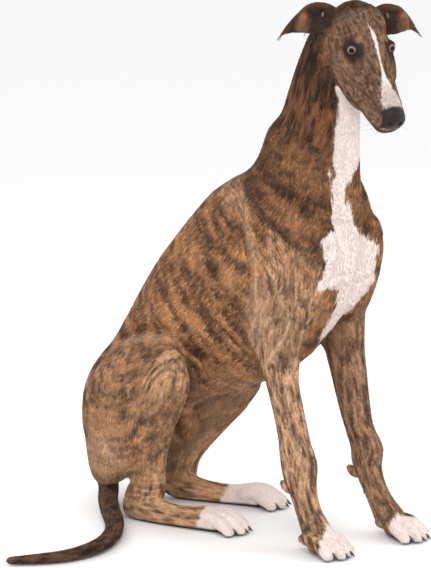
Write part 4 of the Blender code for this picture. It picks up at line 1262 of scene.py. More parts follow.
TAN_FLANK = Pattern(srgb(200, 143, 96), srgb(68, 45, 32), 0.0092, 0.042, 0.1, 0.75, 1.05)
GREY_HEAD = Pattern(srgb(160, 120, 92), srgb(62, 42, 32), 0.0048, 0.0048, 0.1, 1.1, 1.25)
NECK_COAT = Pattern(srgb(146, 97, 63), srgb(42, 26, 17), 0.022, 0.006, 0.12, 0.75, 1.0)
SHOULDER_COAT = Pattern(srgb(206, 159, 121), srgb(84, 59, 44), 0.018, 0.0058, -0.02, 0.95, 1.15)
ARM_COAT = Pattern(srgb(208, 164, 128), srgb(84, 59, 44), 0.02, 0.0065, 0.05, 0.85, 0.9)
# The left foreleg's own darker brindle, darkened further by painted shade for the side away from the light
LEFT_ARM_COAT_AND_SHADE = Pattern(srgb(178, 136, 104), srgb(76, 53, 39), 0.022, 0.006, 0.05, 0.85, 1.05)
THIGH_COAT = Pattern(srgb(208, 157, 115), srgb(76, 52, 39), 0.036, 0.0085, 0.02, 0.9, 1.15)
SHANK_COAT = Pattern(srgb(212, 165, 125), srgb(92, 65, 48), 0.022, 0.0065, -0.1, 0.8, 1.0)
TAIL_COAT = Pattern(srgb(116, 82, 57), srgb(38, 25, 19), 0.016, 0.006, 0.05, 0.6, 0.9)
EAR_COAT = Pattern(srgb(86, 57, 40), srgb(30, 19, 14), 0.012, 0.007, 0.1, 0.5, 0.9)
WHITE = srgb(236, 220, 213)
LEATHER = srgb(27, 13, 8)
PALE_TAN = srgb(212, 174, 140)
POUCH_BROWN = srgb(146, 108, 82)
MUZZLE_GREY = srgb(128, 108, 100)
EYE_PATCH = srgb(30, 19, 15)
FACE_SHADE = srgb(56, 38, 29)
BROW_TAN = srgb(176, 138, 108)
LIP_DARK = srgb(52, 40, 36)
# Painted shade in the hollow of the ears
EAR_HOLLOW_SHADE = srgb(40, 25, 19)
EAR_RIM = srgb(104, 68, 46)
EAR_FLAP = srgb(158, 110, 76)
PUPIL = srgb(10, 8, 8)
IRIS = srgb(134, 112, 98)
IRIS_RING = srgb(120, 92, 62)
IRIS_EDGE = srgb(30, 22, 18)
EYE_WHITE = srgb(52, 34, 28)
CLAW_DARK = srgb(40, 32, 30)
CLAW_PALE = srgb(92, 78, 70)
CLAW_STREAKS = np.array((900, 160, 900))
WHISKER = srgb(60, 50, 45)

# A tuft's points are its root, the two sides and the ridge of its belly, and its tip
TUFT_FACES = np.array([(0, 2, 1), (0, 1, 3), (0, 3, 2), (4, 1, 2), (4, 3, 1), (4, 2, 3)])
# Each point's brightness: painted shade at the root, painted highlight at the tip
TUFT_ROOT_SHADE_TIP_LIGHT = np.array((0.74, 0.97, 0.97, 1.0, 1.18))
TUFT_PATCH = np.array([(-1, 0), (0, -1), (0, 1), (0, 0), (1, 0)])
COAT_ABOVE_FLOOR = np.array((0, 0, 0.0004))


@dataclass
class Markings:
    """Where the coat is white, brindle, dark or bare, in the dog's own frame."""

    dog: Greyhound
    charts: list[Chart]
    bib: list[Row] = field(default_factory=lambda: [
        (0.36, -0.004, -0.002),
        (0.38, -0.01, 0.0),
        (0.4, -0.018, 0.01),
        (0.43, -0.019, 0.035),
        (0.457, -0.021, 0.055),
        (0.478, -0.026, 0.062),
        (0.492, -0.088, 0.064),
        (0.52, -0.088, 0.064),
        (0.55, -0.086, 0.062),
        (0.566, -0.086, 0.05),
        (0.58, -0.08, 0.01),
        (0.6, -0.062, -0.006),
        (0.629, -0.048, -0.018),
        (0.661, -0.042, -0.022),
        (0.69, -0.038, -0.006),
        (0.718, -0.037, 0.022),
        (0.75, -0.033, 0.036),
        (0.785, -0.031, 0.038),
        (0.835, -0.033, 0.039),
        (0.89, -0.036, 0.04),
        (0.96, -0.034, 0.034),
    ])
    blaze: list[Row] = field(default_factory=lambda: [
        (-0.13, 0.0, 0.0185),
        (-0.112, 0.0, 0.0185),
        (-0.096, -0.001, 0.016),
        (-0.078, -0.001, 0.0105),
        (-0.062, 0.0, 0.0044),
        (-0.048, 0.001, 0.0024),
        (-0.03, 0.001, 0.0017),
        (-0.006, 0.001, 0.003),
        (0.012, 0.0, 0.004),
        (0.026, -0.003, 0.0018),
        (0.04, -0.007, 0.0),
    ])

    def blend(self, places: np.ndarray) -> tuple[list[dict[str, np.ndarray]], np.ndarray]:
        """Measures places on every chart, and says how much each chart counts there."""
        measured = [chart.measure(places) for chart in self.charts]
        far = np.column_stack([found["far"] for found in measured])
        share = np.exp(-9.0 * (far - far.min(axis=1)[:, None]))
        return measured, share / share.sum(axis=1)[:, None]

    def brindle(self, places: np.ndarray, measured: list, share: np.ndarray) -> np.ndarray:
        """The brindle ground colour, blended from chart to chart.

        Args:
            places: Rows of x, y and z in the dog's own frame.
            measured: The measures on every chart.
            share: How much each chart counts.

        Returns:
            Rows of red, green and blue.
        """
        colour = np.zeros((len(places), 3))
        for number, (chart, found) in enumerate(zip(self.charts, measured)):
            on = np.flatnonzero(share[:, number] > 0.01)
            if not len(on):
                continue
            look = chart.pattern
            warp = clouds(places[on] * 16, 31 + number) * 0.7
            arc, ring = found["arc"][on], found["offset"][on]
            grid = np.column_stack((arc / look.along + warp, ring / look.around))
            band = clouds(grid, 7 + 5 * number) * 1.6 + clouds(places[on] * 19, 61, 2) * 0.28
            streak = clouds(np.column_stack((arc / 0.011, ring / 0.0021)), 91, 2)
            dark = eased(band + look.bias + streak * look.speckle, -look.sharp, look.sharp)
            tone = look.light + (look.dark - look.light) * dark[:, None]
            colour[on] += tone * share[on, number][:, None]
        return colour

    def whiteness(self, places: np.ndarray) -> np.ndarray:
        """How white the coat is: throat and chest, blaze and feet.

        Args:
            places: Rows of x, y and z in the dog's own frame.

        Returns:
            One value from 0 to 1 for each row.
        """
        x, y, z = places.T
        head = self.in_head(places)
        ragged = clouds(places * np.array((120, 120, 45)), 17) * np.interp(z, (0.66, 0.76), (0.01, 0.0045))
        table = np.array(self.bib)
        right = np.interp(z, table[:, 0], table[:, 1]) + ragged
        left = np.interp(z, table[:, 0], table[:, 2]) + ragged
        inside = np.minimum(x - right, left - x)
        lobe = 0.011 - np.hypot((x + 0.08) * 1.1, z - 0.494) + ragged * 0.5
        inside = np.maximum(inside, lobe)
        ahead = np.interp(z, (0.36, 0.45, 0.6, 0.95), (-0.085, -0.105, -0.112, -0.128)) - y
        below = -0.088 - head[:, 2] + np.where(z < 0.78, 1.0, 0.0)
        bib = eased(np.minimum(np.minimum(inside, ahead), below), -0.001, 0.0015)
        table = np.array(self.blaze)
        middle = np.interp(head[:, 1], table[:, 0], table[:, 1])
        half = np.interp(head[:, 1], table[:, 0], table[:, 2])
        jag = clouds(places * 260, 23) * np.maximum(half * 0.35, 0.0006)
        on_top = np.where(head[:, 2] > -0.045 - 0.3 * np.maximum(0, head[:, 1] + 0.05), 1.0, 0.0)
        blaze = eased(half - np.abs(head[:, 0] - middle) + jag, -0.0008, 0.0008) * on_top
        blaze *= eased(-head[:, 1], -0.042, -0.036) * eased(head[:, 1], -0.15, -0.148)
        return np.maximum(np.maximum(bib, blaze), self.white_feet(places))

    def in_head(self, places: np.ndarray) -> np.ndarray:
        """Places in the head's frame."""
        back = np.array(self.dog.head.matrix().inverted())
        return places @ back[:3, :3].T + back[:3, 3]

    def white_feet(self, places: np.ndarray) -> np.ndarray:
        """The white toes of the forefeet and the white of the hind feet.

        Args:
            places: Rows of x, y and z in the dog's own frame.

        Returns:
            One value from 0 to 1 for each row.
        """
        x, y, z = places.T
        jag = clouds(places * 110, 53) * 0.007
        feet = np.zeros(len(places))
        for leg in self.dog.forelegs:
            near = np.hypot(x - leg.paw[0], y - leg.paw[1]) < 0.085
            ahead = leg.paw[1] - 0.004 - y + jag - 0.25 * (x - leg.paw[0]) * leg.side
            feet = np.maximum(feet, np.where(near & (z < 0.07), eased(ahead, -0.002, 0.003), 0.0))
        for leg, back in zip(self.dog.hindlegs, (0.068, 0.032)):
            yaw = math.radians(leg.yaw)
            run = (x - leg.paw[0]) * -math.sin(yaw) + (y - leg.paw[1]) * math.cos(yaw)
            across = (x - leg.paw[0]) * math.cos(yaw) + (y - leg.paw[1]) * math.sin(yaw)
            ahead = back - run + jag + np.maximum(0.0, 0.03 - z) * 0.6
            here = (np.abs(across) < 0.045) & (z < 0.075) & (run > -0.09)
            feet = np.maximum(feet, np.where(here, eased(ahead, -0.002, 0.003), 0.0))
        return feet

    def paint(self, places: np.ndarray, normals: np.ndarray) -> dict[str, np.ndarray]:
        """Colours, lie and chart place of points of the skin.

        Args:
            places: Rows of x, y and z in the dog's own frame.
            normals: The skin's outward normals there.

        Returns:
            Colour, bareness, lie, owning chart, measures on every chart, leather and white.
        """
        measured, share = self.blend(places)
        colour = self.brindle(places, measured, share)
        head = self.in_head(places)
        far = measured[0]["far"]
        on_head = eased(-(far - 1.6), 0.0, 0.3)
        names = [chart.name for chart in self.charts]
        ears = share[:, [i for i, n in enumerate(names) if n.startswith("ear")]].sum(axis=1)
        self.tint_body(colour, places, normals, on_head)
        # Painted shade, darker behind the jaw and the ears
        behind = eased(far, 1.08, 1.3) * eased(-far, -2.6, -1.7) * (1 - ears)
        colour *= (1 - 0.5 * behind)[:, None]
        ring = self.tint_face(colour, places, head, on_head)
        # White, flecked with grey on the muzzle
        white = self.whiteness(places)
        grizzle = eased(-head[:, 1], 0.06, 0.1) * on_head
        speck = (0.34 + eased(clouds(places * 800, 77, 2), -0.3, 0.5) * 0.3) * grizzle
        ground = WHITE * (0.95 + 0.05 * mottle(places * 60, 3))[:, None]
        tint(ground, MUZZLE_GREY, speck)
        tint(colour, ground, white)
        # Bare leather: nose, lid rims, pads
        leather = self.leather(head)
        rims = eased(-ring, -0.015, -0.0138) * on_head
        pads = np.where(places[:, 2] < 0.012, eased(-normals[:, 2], 0.5, 0.8), 0.0)
        bare = np.maximum(np.maximum(leather, rims * 0.9), pads)
        tint(colour, LEATHER, bare)
        self.tint_ears(colour, places, normals, ears)
        lie = sum(found["way"] * share[:, number][:, None] for number, found in enumerate(measured))
        lie -= normals * (lie * normals).sum(axis=1)[:, None]
        lie /= np.maximum(np.linalg.norm(lie, axis=1), 1e-9)[:, None]
        owner = share.argmax(axis=1)
        return {"colour": colour, "bare": bare, "lie": lie, "owner": owner, "measured": measured,
                "leather": leather, "white": white}

    def tint_body(self, colour: np.ndarray, places: np.ndarray, normals: np.ndarray,
                  on_head: np.ndarray) -> None:
        """Lightens belly, thighs and elbows, paints a highlight along the pale folds, and darkens the back.

        Args:
            colour: The colours, which are changed.
            places: Rows of x, y and z in the dog's own frame.
            normals: The skin's outward normals there.
            on_head: How much each row belongs to the head.
        """
        x, y, z = places.T
        off_head = 1 - on_head
        # Pale belly, inner thighs and hamstrings
        under = eased(-normals[:, 2], 0.35, 0.9) * eased(y, -0.06, 0.06) * eased(z, 0.1, 0.2)
        inner = eased(-normals[:, 0] * np.sign(x), 0.3, 0.8) * eased(y, 0.06, 0.14) * eased(z, 0.03, 0.1)
        pale = np.clip(under * 0.45 + inner * 0.42, 0, 0.75) * (0.8 + 0.4 * clouds(places * 60, 11))
        tint(colour, PALE_TAN, np.clip(pale, 0, 1) * off_head)
        # Cream at the buttocks and behind the elbows
        cream = eased(-np.hypot((y - 0.285) * 0.9, (z - 0.122) * 1.1), -0.075, -0.03)
        cream *= eased(np.abs(x), 0.04, 0.09)
        cream = np.maximum(cream, eased(-np.hypot(y + 0.035, (z - 0.43) * 0.6), -0.045, -0.01) * 0.6)
        cream *= 0.45 + 0.35 * clouds(places * np.array((160, 160, 60)), 67)
        tint(colour, PALE_TAN, np.clip(cream, 0, 0.8))
        # Painted highlight along the crests of the pale folds of loose skin, and the scrotum's own colour
        ridge = sum(crease.weight(places, normals) for crease in CREASES if crease.pale)
        tint(colour, PALE_TAN, np.clip(ridge * 0.45, 0, 0.5))
        pouch = eased(-np.hypot(np.hypot(x + 0.006, y - 0.204), (z - 0.162) * 0.8), -0.042, -0.03)
        tint(colour, POUCH_BROWN, pouch * (0.55 + 0.35 * clouds(places * 150, 103)))
        # Darker along the back and at the withers
        spine = eased(normals[:, 1] * 0.75 + normals[:, 2] * 0.66, 0.7, 0.98) * eased(z, 0.3, 0.4)
        colour *= (1 - 0.28 * spine * off_head)[:, None]
        saddle = eased(-np.hypot(y - 0.01, z - 0.7), -0.085, -0.03)
        saddle *= 0.6 + 0.5 * clouds(places * 40, 71)
        colour *= (1 - 0.55 * np.clip(saddle, 0, 1))[:, None]

    def tint_face(self, colour: np.ndarray, places: np.ndarray, head: np.ndarray,
                  on_head: np.ndarray) -> np.ndarray:
        """Darkens round the eyes and along the lips, and lightens the brows.

        Args:
            colour: The colours, which are changed.
            places: Rows of x, y and z in the dog's own frame.
            head: The same places in the head's frame.
            on_head: How much each row belongs to the head.

        Returns:
            How far each row is from the eye of its side, a little uneven.
        """
        side, fore, up = np.abs(head[:, 0]), head[:, 1], head[:, 2]
        eye = self.dog.head.eye
        ring = np.sqrt((side - eye[0]) ** 2 + ((fore - eye[1] + 0.004) / 1.25) ** 2
                       + ((up - eye[2]) / 1.1) ** 2)
        ring += 0.0022 * clouds(places * 160, 101)
        tint(colour, EYE_PATCH, eased(-ring, -0.0265, -0.0135) * on_head * 0.9)
        ahead = np.sqrt((side - 0.03) ** 2 + ((fore + 0.014) * 0.7) ** 2 + (up + 0.004) ** 2)
        tint(colour, FACE_SHADE, eased(-ahead, -0.03, -0.004) * on_head * 0.5)
        brow = np.sqrt((side - 0.029) ** 2 + (fore - 0.012) ** 2 + (up - 0.017) ** 2)
        tint(colour, BROW_TAN, eased(-brow, -0.01, -0.004) * 0.6)
        lip = eased(-np.abs(self.lip(head)), -0.0045, -0.0018)
        tint(colour, LIP_DARK, lip * 0.9 * on_head)
        return ring

    def tint_ears(self, colour: np.ndarray, places: np.ndarray, normals: np.ndarray,
                  ears: np.ndarray) -> None:
        """Paints shade into the ears' hollow, and gives them their brown rim and tan inner flap.

        Args:
            colour: The colours, which are changed.
            places: Rows of x, y and z in the dog's own frame.
            normals: The skin's outward normals there.
            ears: How much each row belongs to an ear.
        """
        head = self.in_head(places)
        # Painted shade where the ear faces forward into its hollow
        tint(colour, EAR_HOLLOW_SHADE, ears * eased(self.ear_inside(normals), -0.1, 0.4) * 0.6)
        rim = sum(near_line(head, [upper for upper, _ in ear.edges], 0.013) for ear in self.dog.ears)
        outer = EAR_RIM * (0.9 + 0.45 * clouds(places * 240, 95))[:, None]
        tint(colour, outer, np.clip(rim * ears, 0, 0.85))
        flap = sum(ear.near_flap(head) for ear in self.dog.ears)
        flap *= 0.75 + 0.35 * clouds(places * 300, 97)
        tint(colour, EAR_FLAP, np.clip(flap * ears, 0, 0.8))

    def ear_inside(self, normals: np.ndarray) -> np.ndarray:
        """How much a point of an ear faces forward into its hollow."""
        turn = np.array(self.dog.head.matrix().to_3x3().inverted())
        facing = normals @ turn.T
        return -facing[:, 1]

    def lip(self, head: np.ndarray) -> np.ndarray:
        """The height above the mouth line, and a large number away from the muzzle."""
        line = np.array(self.dog.head.mouth)
        order = np.argsort(line[:, 1])
        level = np.interp(head[:, 1], line[order, 1], line[order, 2])
        return np.where((head[:, 1] < -0.04) & (head[:, 1] > -0.15), head[:, 2] - level, 1.0)

    def leather(self, head: np.ndarray) -> np.ndarray:
        """The bare leather of the nose."""
        ahead = -0.1215 - 0.1 * (head[:, 2] + 0.01) - head[:, 1]
        above = head[:, 2] + 0.0435
        within = 0.0235 - np.abs(head[:, 0])
        return eased(np.minimum(np.minimum(ahead, above), within), -0.0006, 0.0008)


def charts(dog: Greyhound) -> list[Chart]:
    """Every stretch that the coat is laid on, from the head to the tail."""
    trunk = dog.trunk.stations
    shoulder = [
        (0.046, 0.085, 0.665, 0.02, 0.05, 0.03),
        (0.066, 0.0, 0.61, 0.045, 0.06, 0.03),
        (0.078, -0.08, 0.53, 0.065, 0.03, 0.03),
        (0.08, -0.085, 0.45, 0.06, 0.0, 0.03),
        (0.08, -0.08, 0.39, 0.055, 0.0, 0.03),
    ]
    made = [
        Chart("head", Region.HEAD, head_rows(dog.head), GREY_HEAD, 0.0045, 0.0008, backward=True),
        Chart("neck", Region.NECK, profile_rows(trunk[:8]), NECK_COAT, 0.0085, 0.0012),
    ]
    for side in (RIGHT, LEFT):
        flank = Region.FLANK_LEFT if side == LEFT else Region.FLANK_RIGHT
        rows = [(side * r[0],) + r[1:] for r in shoulder]
        made.append(Chart("shoulder_" + SIDE_WORDS[side], flank, rows, SHOULDER_COAT, 0.008, 0.0012))
    made.append(Chart("body", Region.FLANK_RIGHT, profile_rows(trunk[6:]), TAN_FLANK, 0.01, 0.0014))
    for leg in dog.forelegs:
        # The left foreleg's coat is partly its darker brindle and partly painted shade
        look = LEFT_ARM_COAT_AND_SHADE if leg.side == LEFT else ARM_COAT
        made.append(Chart("foreleg_%d" % leg.side, Region.FORELEGS, profile_rows(leg.stations), look,
                          0.0055, 0.0009))
    for leg in dog.hindlegs:
        haunch = Region.HAUNCH_LEFT if leg.side == LEFT else Region.HAUNCH_RIGHT
        made.append(Chart("thigh_%d" % leg.side, haunch, profile_rows(leg.thigh), THIGH_COAT,
                          0.009, 0.0013, lie=(0.0, 0.2, -0.98)))
        made.append(Chart("shank_%d" % leg.side, haunch, profile_rows(leg.shank), SHANK_COAT,
                          0.006, 0.001))
        made.append(Chart("foot_%d" % leg.side, haunch, profile_rows(leg.foot), SHANK_COAT, 0.0045, 0.0008))
    made.append(Chart("tail", Region.TAIL, tube_rows(dog.tail.path), TAIL_COAT, 0.009, 0.0011))
    for ear in dog.ears:
        made.append(Chart("ear_%d" % ear.side, Region.HEAD, ear_rows(dog.head, ear), EAR_COAT,
                          0.0036, 0.0007))
    return made


@dataclass
class Coat:
    """Solid tufts over the skin, one piece for each region."""

    markings: Markings
    low: np.ndarray
    high: np.ndarray
    tufts: int = 31000
    lift: float = 0.16
    seed: int = 12
    patch: float = 0.0015
    root_depth: float = 0.0004
    floor_gap: float = 0.0025
    swing: float = 0.13
    shade: float = 0.15
    tail_taper: float = 0.06

    def lay(self, skin: bpy.types.Object) -> list[bpy.types.Object]:
        """Lays the coat on a skin that is still in the dog's own frame.

        Args:
            skin: The skin.

        Returns:
            The coat pieces.
        """
        rng = np.random.default_rng(self.seed)
        mesh = skin.data
        mesh.calc_loop_triangles()
        corners = np.empty(len(mesh.loop_triangles) * 3, int)
        mesh.loop_triangles.foreach_get("vertices", corners)
        corners = corners.reshape(-1, 3)
        spots, normals = surface(mesh)
        a, b, c = (spots[corners[:, i]] for i in range(3))
        area = np.linalg.norm(np.cross(b - a, c - a), axis=1) / 2
        middle = (a + b + c) / 3
        region = self.regions(middle)
        pieces = []
        for number, name in enumerate(Region):
            inside = np.where(region == number, area, 0.0)
            total = inside.sum()
            pick = rng.choice(len(inside), self.tufts, p=inside / total)
            u, v = rng.random(self.tufts), rng.random(self.tufts)
            over = u + v > 1
            u, v = np.where(over, 1 - u, u), np.where(over, 1 - v, v)
            mix = np.column_stack((1 - u - v, u, v))
            roots = sum(spots[corners[pick, i]] * mix[:, i:i + 1] for i in range(3))
            outward = sum(normals[corners[pick, i]] * mix[:, i:i + 1] for i in range(3))
            outward /= np.linalg.norm(outward, axis=1)[:, None]
            pieces.append(self.piece("coat_" + name.value, roots, outward, rng))
            LOG.info("%s: %.3f m2, %d tufts", name.value, total, self.tufts)
        return pieces

    def regions(self, places: np.ndarray) -> np.ndarray:
        """The number of the region that each place is in.

        Args:
            places: Rows of x, y and z in the dog's own frame.

        Returns:
            The region's place in the order of Region, for each row.
        """
        _, share = self.markings.blend(places)
        order = list(Region)
        number = np.array([order.index(chart.region) for chart in self.markings.charts])
        found = number[share.argmax(axis=1)]
        flank = np.isin(found, (order.index(Region.FLANK_LEFT), order.index(Region.FLANK_RIGHT)))
        left, right = order.index(Region.FLANK_LEFT), order.index(Region.FLANK_RIGHT)
        return np.where(flank, np.where(places[:, 0] > 0, left, right), found)

    def piece(self, name: str, roots: np.ndarray, normals: np.ndarray,
              rng: np.random.Generator) -> bpy.types.Object:
        """One coat piece of spindle-shaped tufts.

        Args:
            name: The piece's name.
            roots: The roots of its tufts.
            normals: The skin's normals there.
            rng: The source of chance.

        Returns:
            The piece.
        """
        look = self.markings.paint(roots, normals)
        keep = look["bare"] < 0.5
        keep &= roots[:, 2] > self.floor_gap
        roots, normals = roots[keep], normals[keep]
        colour, lie, owner = look["colour"][keep], look["lie"][keep], look["owner"][keep]
        count = len(roots)
        table = self.markings.charts
        length = np.array([chart.length for chart in table])[owner] * rng.uniform(0.7, 1.25, count)
        width = np.array([chart.width for chart in table])[owner] * rng.uniform(0.75, 1.25, count)
        for number in np.flatnonzero([chart.region is Region.TAIL for chart in table]):
            left = table[number].arc[-1] - look["measured"][number]["arc"][keep]
            length = np.where(owner == number, length * np.clip(left / self.tail_taper, 0.25, 1), length)
        side = np.cross(normals, lie)
        swing = rng.normal(0.0, self.swing, count)[:, None]
        way = lie * np.cos(swing) + side * np.sin(swing)
        side = np.cross(normals, way)
        calm = 1 - 0.82 * look["white"][keep][:, None]
        lift = rng.uniform(0.5, 1.3, count)[:, None] * self.lift * calm
        long = length[:, None]
        half = width[:, None] / 2
        root = roots - normals * self.root_depth
        belly = roots + way * long * 0.38 + normals * long * lift * 0.42
        tip = roots + way * long + normals * long * lift * 0.62
        ridge = belly + normals * half * 0.7
        points = np.stack([root, belly + side * half, belly - side * half, ridge, tip], axis=1)
        points = np.clip(points, self.low, self.high)
        white = look["white"][keep][:, None]
        shade = 1 + rng.normal(0.0, self.shade, count)[:, None] * (1 - 0.75 * white)
        # Painted shade toward each tuft's root and painted highlight at its tip, mostly left out on white
        # tufts
        ends = TUFT_ROOT_SHADE_TIP_LIGHT[None, :, None]
        ends = ends + (1 - ends) * 0.88 * white[:, :, None]
        tones = (colour * shade)[:, None, :] * ends
        uvs = self.unwrap(look, keep, owner)[:, None, :] + (TUFT_PATCH * self.patch)[None]
        return self.tufted(name, points, tones, uvs)

    def tufted(self, name: str, points: np.ndarray, tones: np.ndarray, uvs: np.ndarray) -> bpy.types.Object:
        """Makes the object of a coat piece.

        Args:
            name: The piece's name.
            points: Five points for each tuft.
            tones: The colour of each of them.
            uvs: Their places on the unwrap.

        Returns:
            The piece.
        """
        count = len(points)
        faces = (TUFT_FACES[None] + (np.arange(count) * 5)[:, None, None]).reshape(-1, 3)
        mesh = bpy.data.meshes.new(name)
        mesh.vertices.add(count * 5)
        mesh.vertices.foreach_set("co", points.ravel())
        mesh.loops.add(len(faces) * 3)
        mesh.loops.foreach_set("vertex_index", faces.ravel())
        mesh.polygons.add(len(faces))
        mesh.polygons.foreach_set("loop_start", np.arange(len(faces)) * 3)
        mesh.polygons.foreach_set("use_smooth", np.ones(len(faces), bool))
        layer = mesh.uv_layers.new(name="OFBake")
        layer.uv.foreach_set("vector", uvs.reshape(-1, 2)[faces.ravel()].ravel())
        float_tones(mesh, tones.reshape(-1, 3))
        mesh.update(calc_edges=True)
        obj = bpy.data.objects.new(name, mesh)
        bpy.context.scene.collection.objects.link(obj)
        return obj

    def unwrap(self, look: dict, keep: np.ndarray, owner: np.ndarray) -> np.ndarray:
        """The place of each root on an unwrap of the skin, a strip for each chart of the piece.

        Args:
            look: What Markings.paint gives for all roots.
            keep: Which of the roots bear a tuft.
            owner: The chart that owns each tuft.

        Returns:
            Rows of u and v, one for each tuft.
        """
        used = np.unique(owner)
        uv = np.zeros((len(owner), 2))
        for slot, number in enumerate(used):
            on = owner == number
            found = look["measured"][number]
            arc = found["arc"][keep][on]
            angle = found["angle"][keep][on] / (2 * math.pi) + 0.5
            reach = self.markings.charts[number].arc[-1]
            run = np.clip((arc + 0.05) / (reach + 0.1), 0, 1)
            uv[on, 0] = (slot + 0.03 + 0.94 * angle) / len(used)
            uv[on, 1] = 0.01 + 0.98 * run
        return np.clip(uv, 0.003, 0.997)


def float_tones(mesh: bpy.types.Mesh, colour: np.ndarray, name: str = "tone") -> None:
    """Gives a mesh a colour for each vertex.

    Args:
        mesh: The mesh.
        colour: Rows of red, green and blue.
        name: The attribute's name.
    """
    layer = mesh.color_attributes.new(name, "FLOAT_COLOR", "POINT")
    flat = np.column_stack((np.clip(colour, 0, 1), np.ones(len(colour))))
    layer.data.foreach_set("color", flat.ravel())


@dataclass
class Eyes:
    """The two eyes: a ball with a low cornea, the pupil, iris and rim laid on in rings."""

    head: Head
    pupil: float = 0.39
    iris: float = 0.72
    rim: float = 0.86
    bulge: float = 0.0006

    def build(self, side: int) -> bpy.types.Object:
        """One eye, in the dog's own frame."""
        head = self.head
        gaze = head.gaze(side)
        turn = gaze.to_track_quat("Z", "Y").to_matrix().to_4x4()
        bm = bmesh.new()
        bmesh.ops.create_uvsphere(bm, u_segments=64, v_segments=72, radius=head.eye_radius)
        angles = []
        for vert in bm.verts:
            angle = math.acos(max(-1.0, min(1.0, vert.co.z / head.eye_radius)))
            angles.append((angle, math.atan2(vert.co.y, vert.co.x)))
            rise = max(0.0, math.cos(min(angle / self.rim, 1.0) * math.pi / 2))
            vert.co *= 1 + self.bulge / head.eye_radius * rise
        bmesh.ops.transform(bm, matrix=Matrix.Translation(head.eye_place(side)) @ turn, verts=bm.verts)
        bmesh.ops.transform(bm, matrix=head.matrix(), verts=bm.verts)
        obj = as_object("eyeball_" + SIDE_WORDS[side], bm)
        float_tones(obj.data, self.rings(np.array(angles)))
        for face in obj.data.polygons:
            face.use_smooth = True
        return obj

    def rings(self, angles: np.ndarray) -> np.ndarray:
        """The eye's colours, with the iris's fibres.

        Args:
            angles: For each vertex, the angle from the gaze and the angle round it.

        Returns:
            Rows of red, green and blue.
        """
        away, around = angles.T
        fibre = np.column_stack((np.cos(around) * 9, np.sin(around) * 9, away * 3))
        iris = IRIS * (1.0 + 0.35 * clouds(fibre, 41))[:, None]
        colour = np.tile(PUPIL, (len(away), 1))
        tint(colour, iris, eased(away, self.pupil - 0.015, self.pupil + 0.03))
        ring = eased(-np.abs(away - self.pupil - 0.06), -0.06, -0.01)
        tint(colour, IRIS_RING, ring * eased(away, self.pupil, self.pupil + 0.03) * 0.5)
        tint(colour, IRIS_EDGE, eased(away, self.iris - 0.05, self.rim))
        tint(colour, EYE_WHITE, eased(away, self.rim + 0.12, self.rim + 0.4))
        return colour


@dataclass
class Claws:
    """Every claw: four on each foot, and a dewclaw on each foreleg."""

    dog: Greyhound
    length: float = 0.012
    radius: float = 0.0037
    dew_length: float = 0.0175
    dew_radius: float = 0.0029

    def claw(self, root: Vector, way: Vector, length: float, radius: float) -> Form:
        """A blunt, bent and slightly flattened cone.

        Args:
            root: The middle of its base, in the dog's own frame.
            way: The way it points.
            length: Its length.
            radius: Its radius at the base.

        Returns:
            The form.
        """
        bm = bmesh.new()
        bmesh.ops.create_cone(bm, cap_ends=True, segments=14, radius1=radius, radius2=radius * 0.28,
                              depth=length)
        sides = [e for e in bm.edges if abs(e.verts[0].co.z - e.verts[1].co.z) > length / 2]
        bmesh.ops.subdivide_edges(bm, edges=sides, cuts=8)
        way = way.normalized()
        side = way.cross((0, 0, 1)).normalized()
        turn = Matrix((side, way.cross(side), way)).transposed()
        for vert in bm.verts:
            share = vert.co.z / length + 0.5
            place = turn @ Vector((vert.co.x * 0.85, vert.co.y * 1.25, share * length))
            vert.co = root + place + Vector((0, 0, -0.35 * length * share * share))
        bmesh.ops.recalc_face_normals(bm, faces=bm.faces)
        return bm

    def build(self) -> bpy.types.Object:
        """All claws as one piece, in the dog's own frame."""
        made = []
        feet = [(leg, 0.0) for leg in self.dog.forelegs]
        feet += [(leg, leg.yaw) for leg in self.dog.hindlegs]
        for leg, yaw in feet:
            turn = Matrix.Translation((*leg.paw, 0)) @ Matrix.Rotation(math.radians(yaw), 4, "Z")
            for place, reach in TOES:
                root = turn @ Vector((place * leg.toe_width, -reach - 0.004, 0.0125))
                way = turn.to_3x3() @ Vector((place * 0.06, -1, -0.12))
                made.append(self.claw(root, way, self.length, self.radius))
        for leg in self.dog.forelegs:
            s, (x, y) = leg.side, leg.paw
            root = Vector((x - s * 0.018, y + 0.073, 0.096))
            way = Vector((-s * 0.55, -0.5, -0.6))
            made.append(self.claw(root, way, self.dew_length, self.dew_radius))
        obj = joined("claws", made)
        places, _ = surface(obj.data)
        streak = eased(clouds(places * CLAW_STREAKS, 83), -0.2, 0.6)
        float_tones(obj.data, CLAW_DARK + (CLAW_PALE - CLAW_DARK) * streak[:, None])
        for face in obj.data.polygons:
            face.use_smooth = len(face.vertices) == 4
        return obj


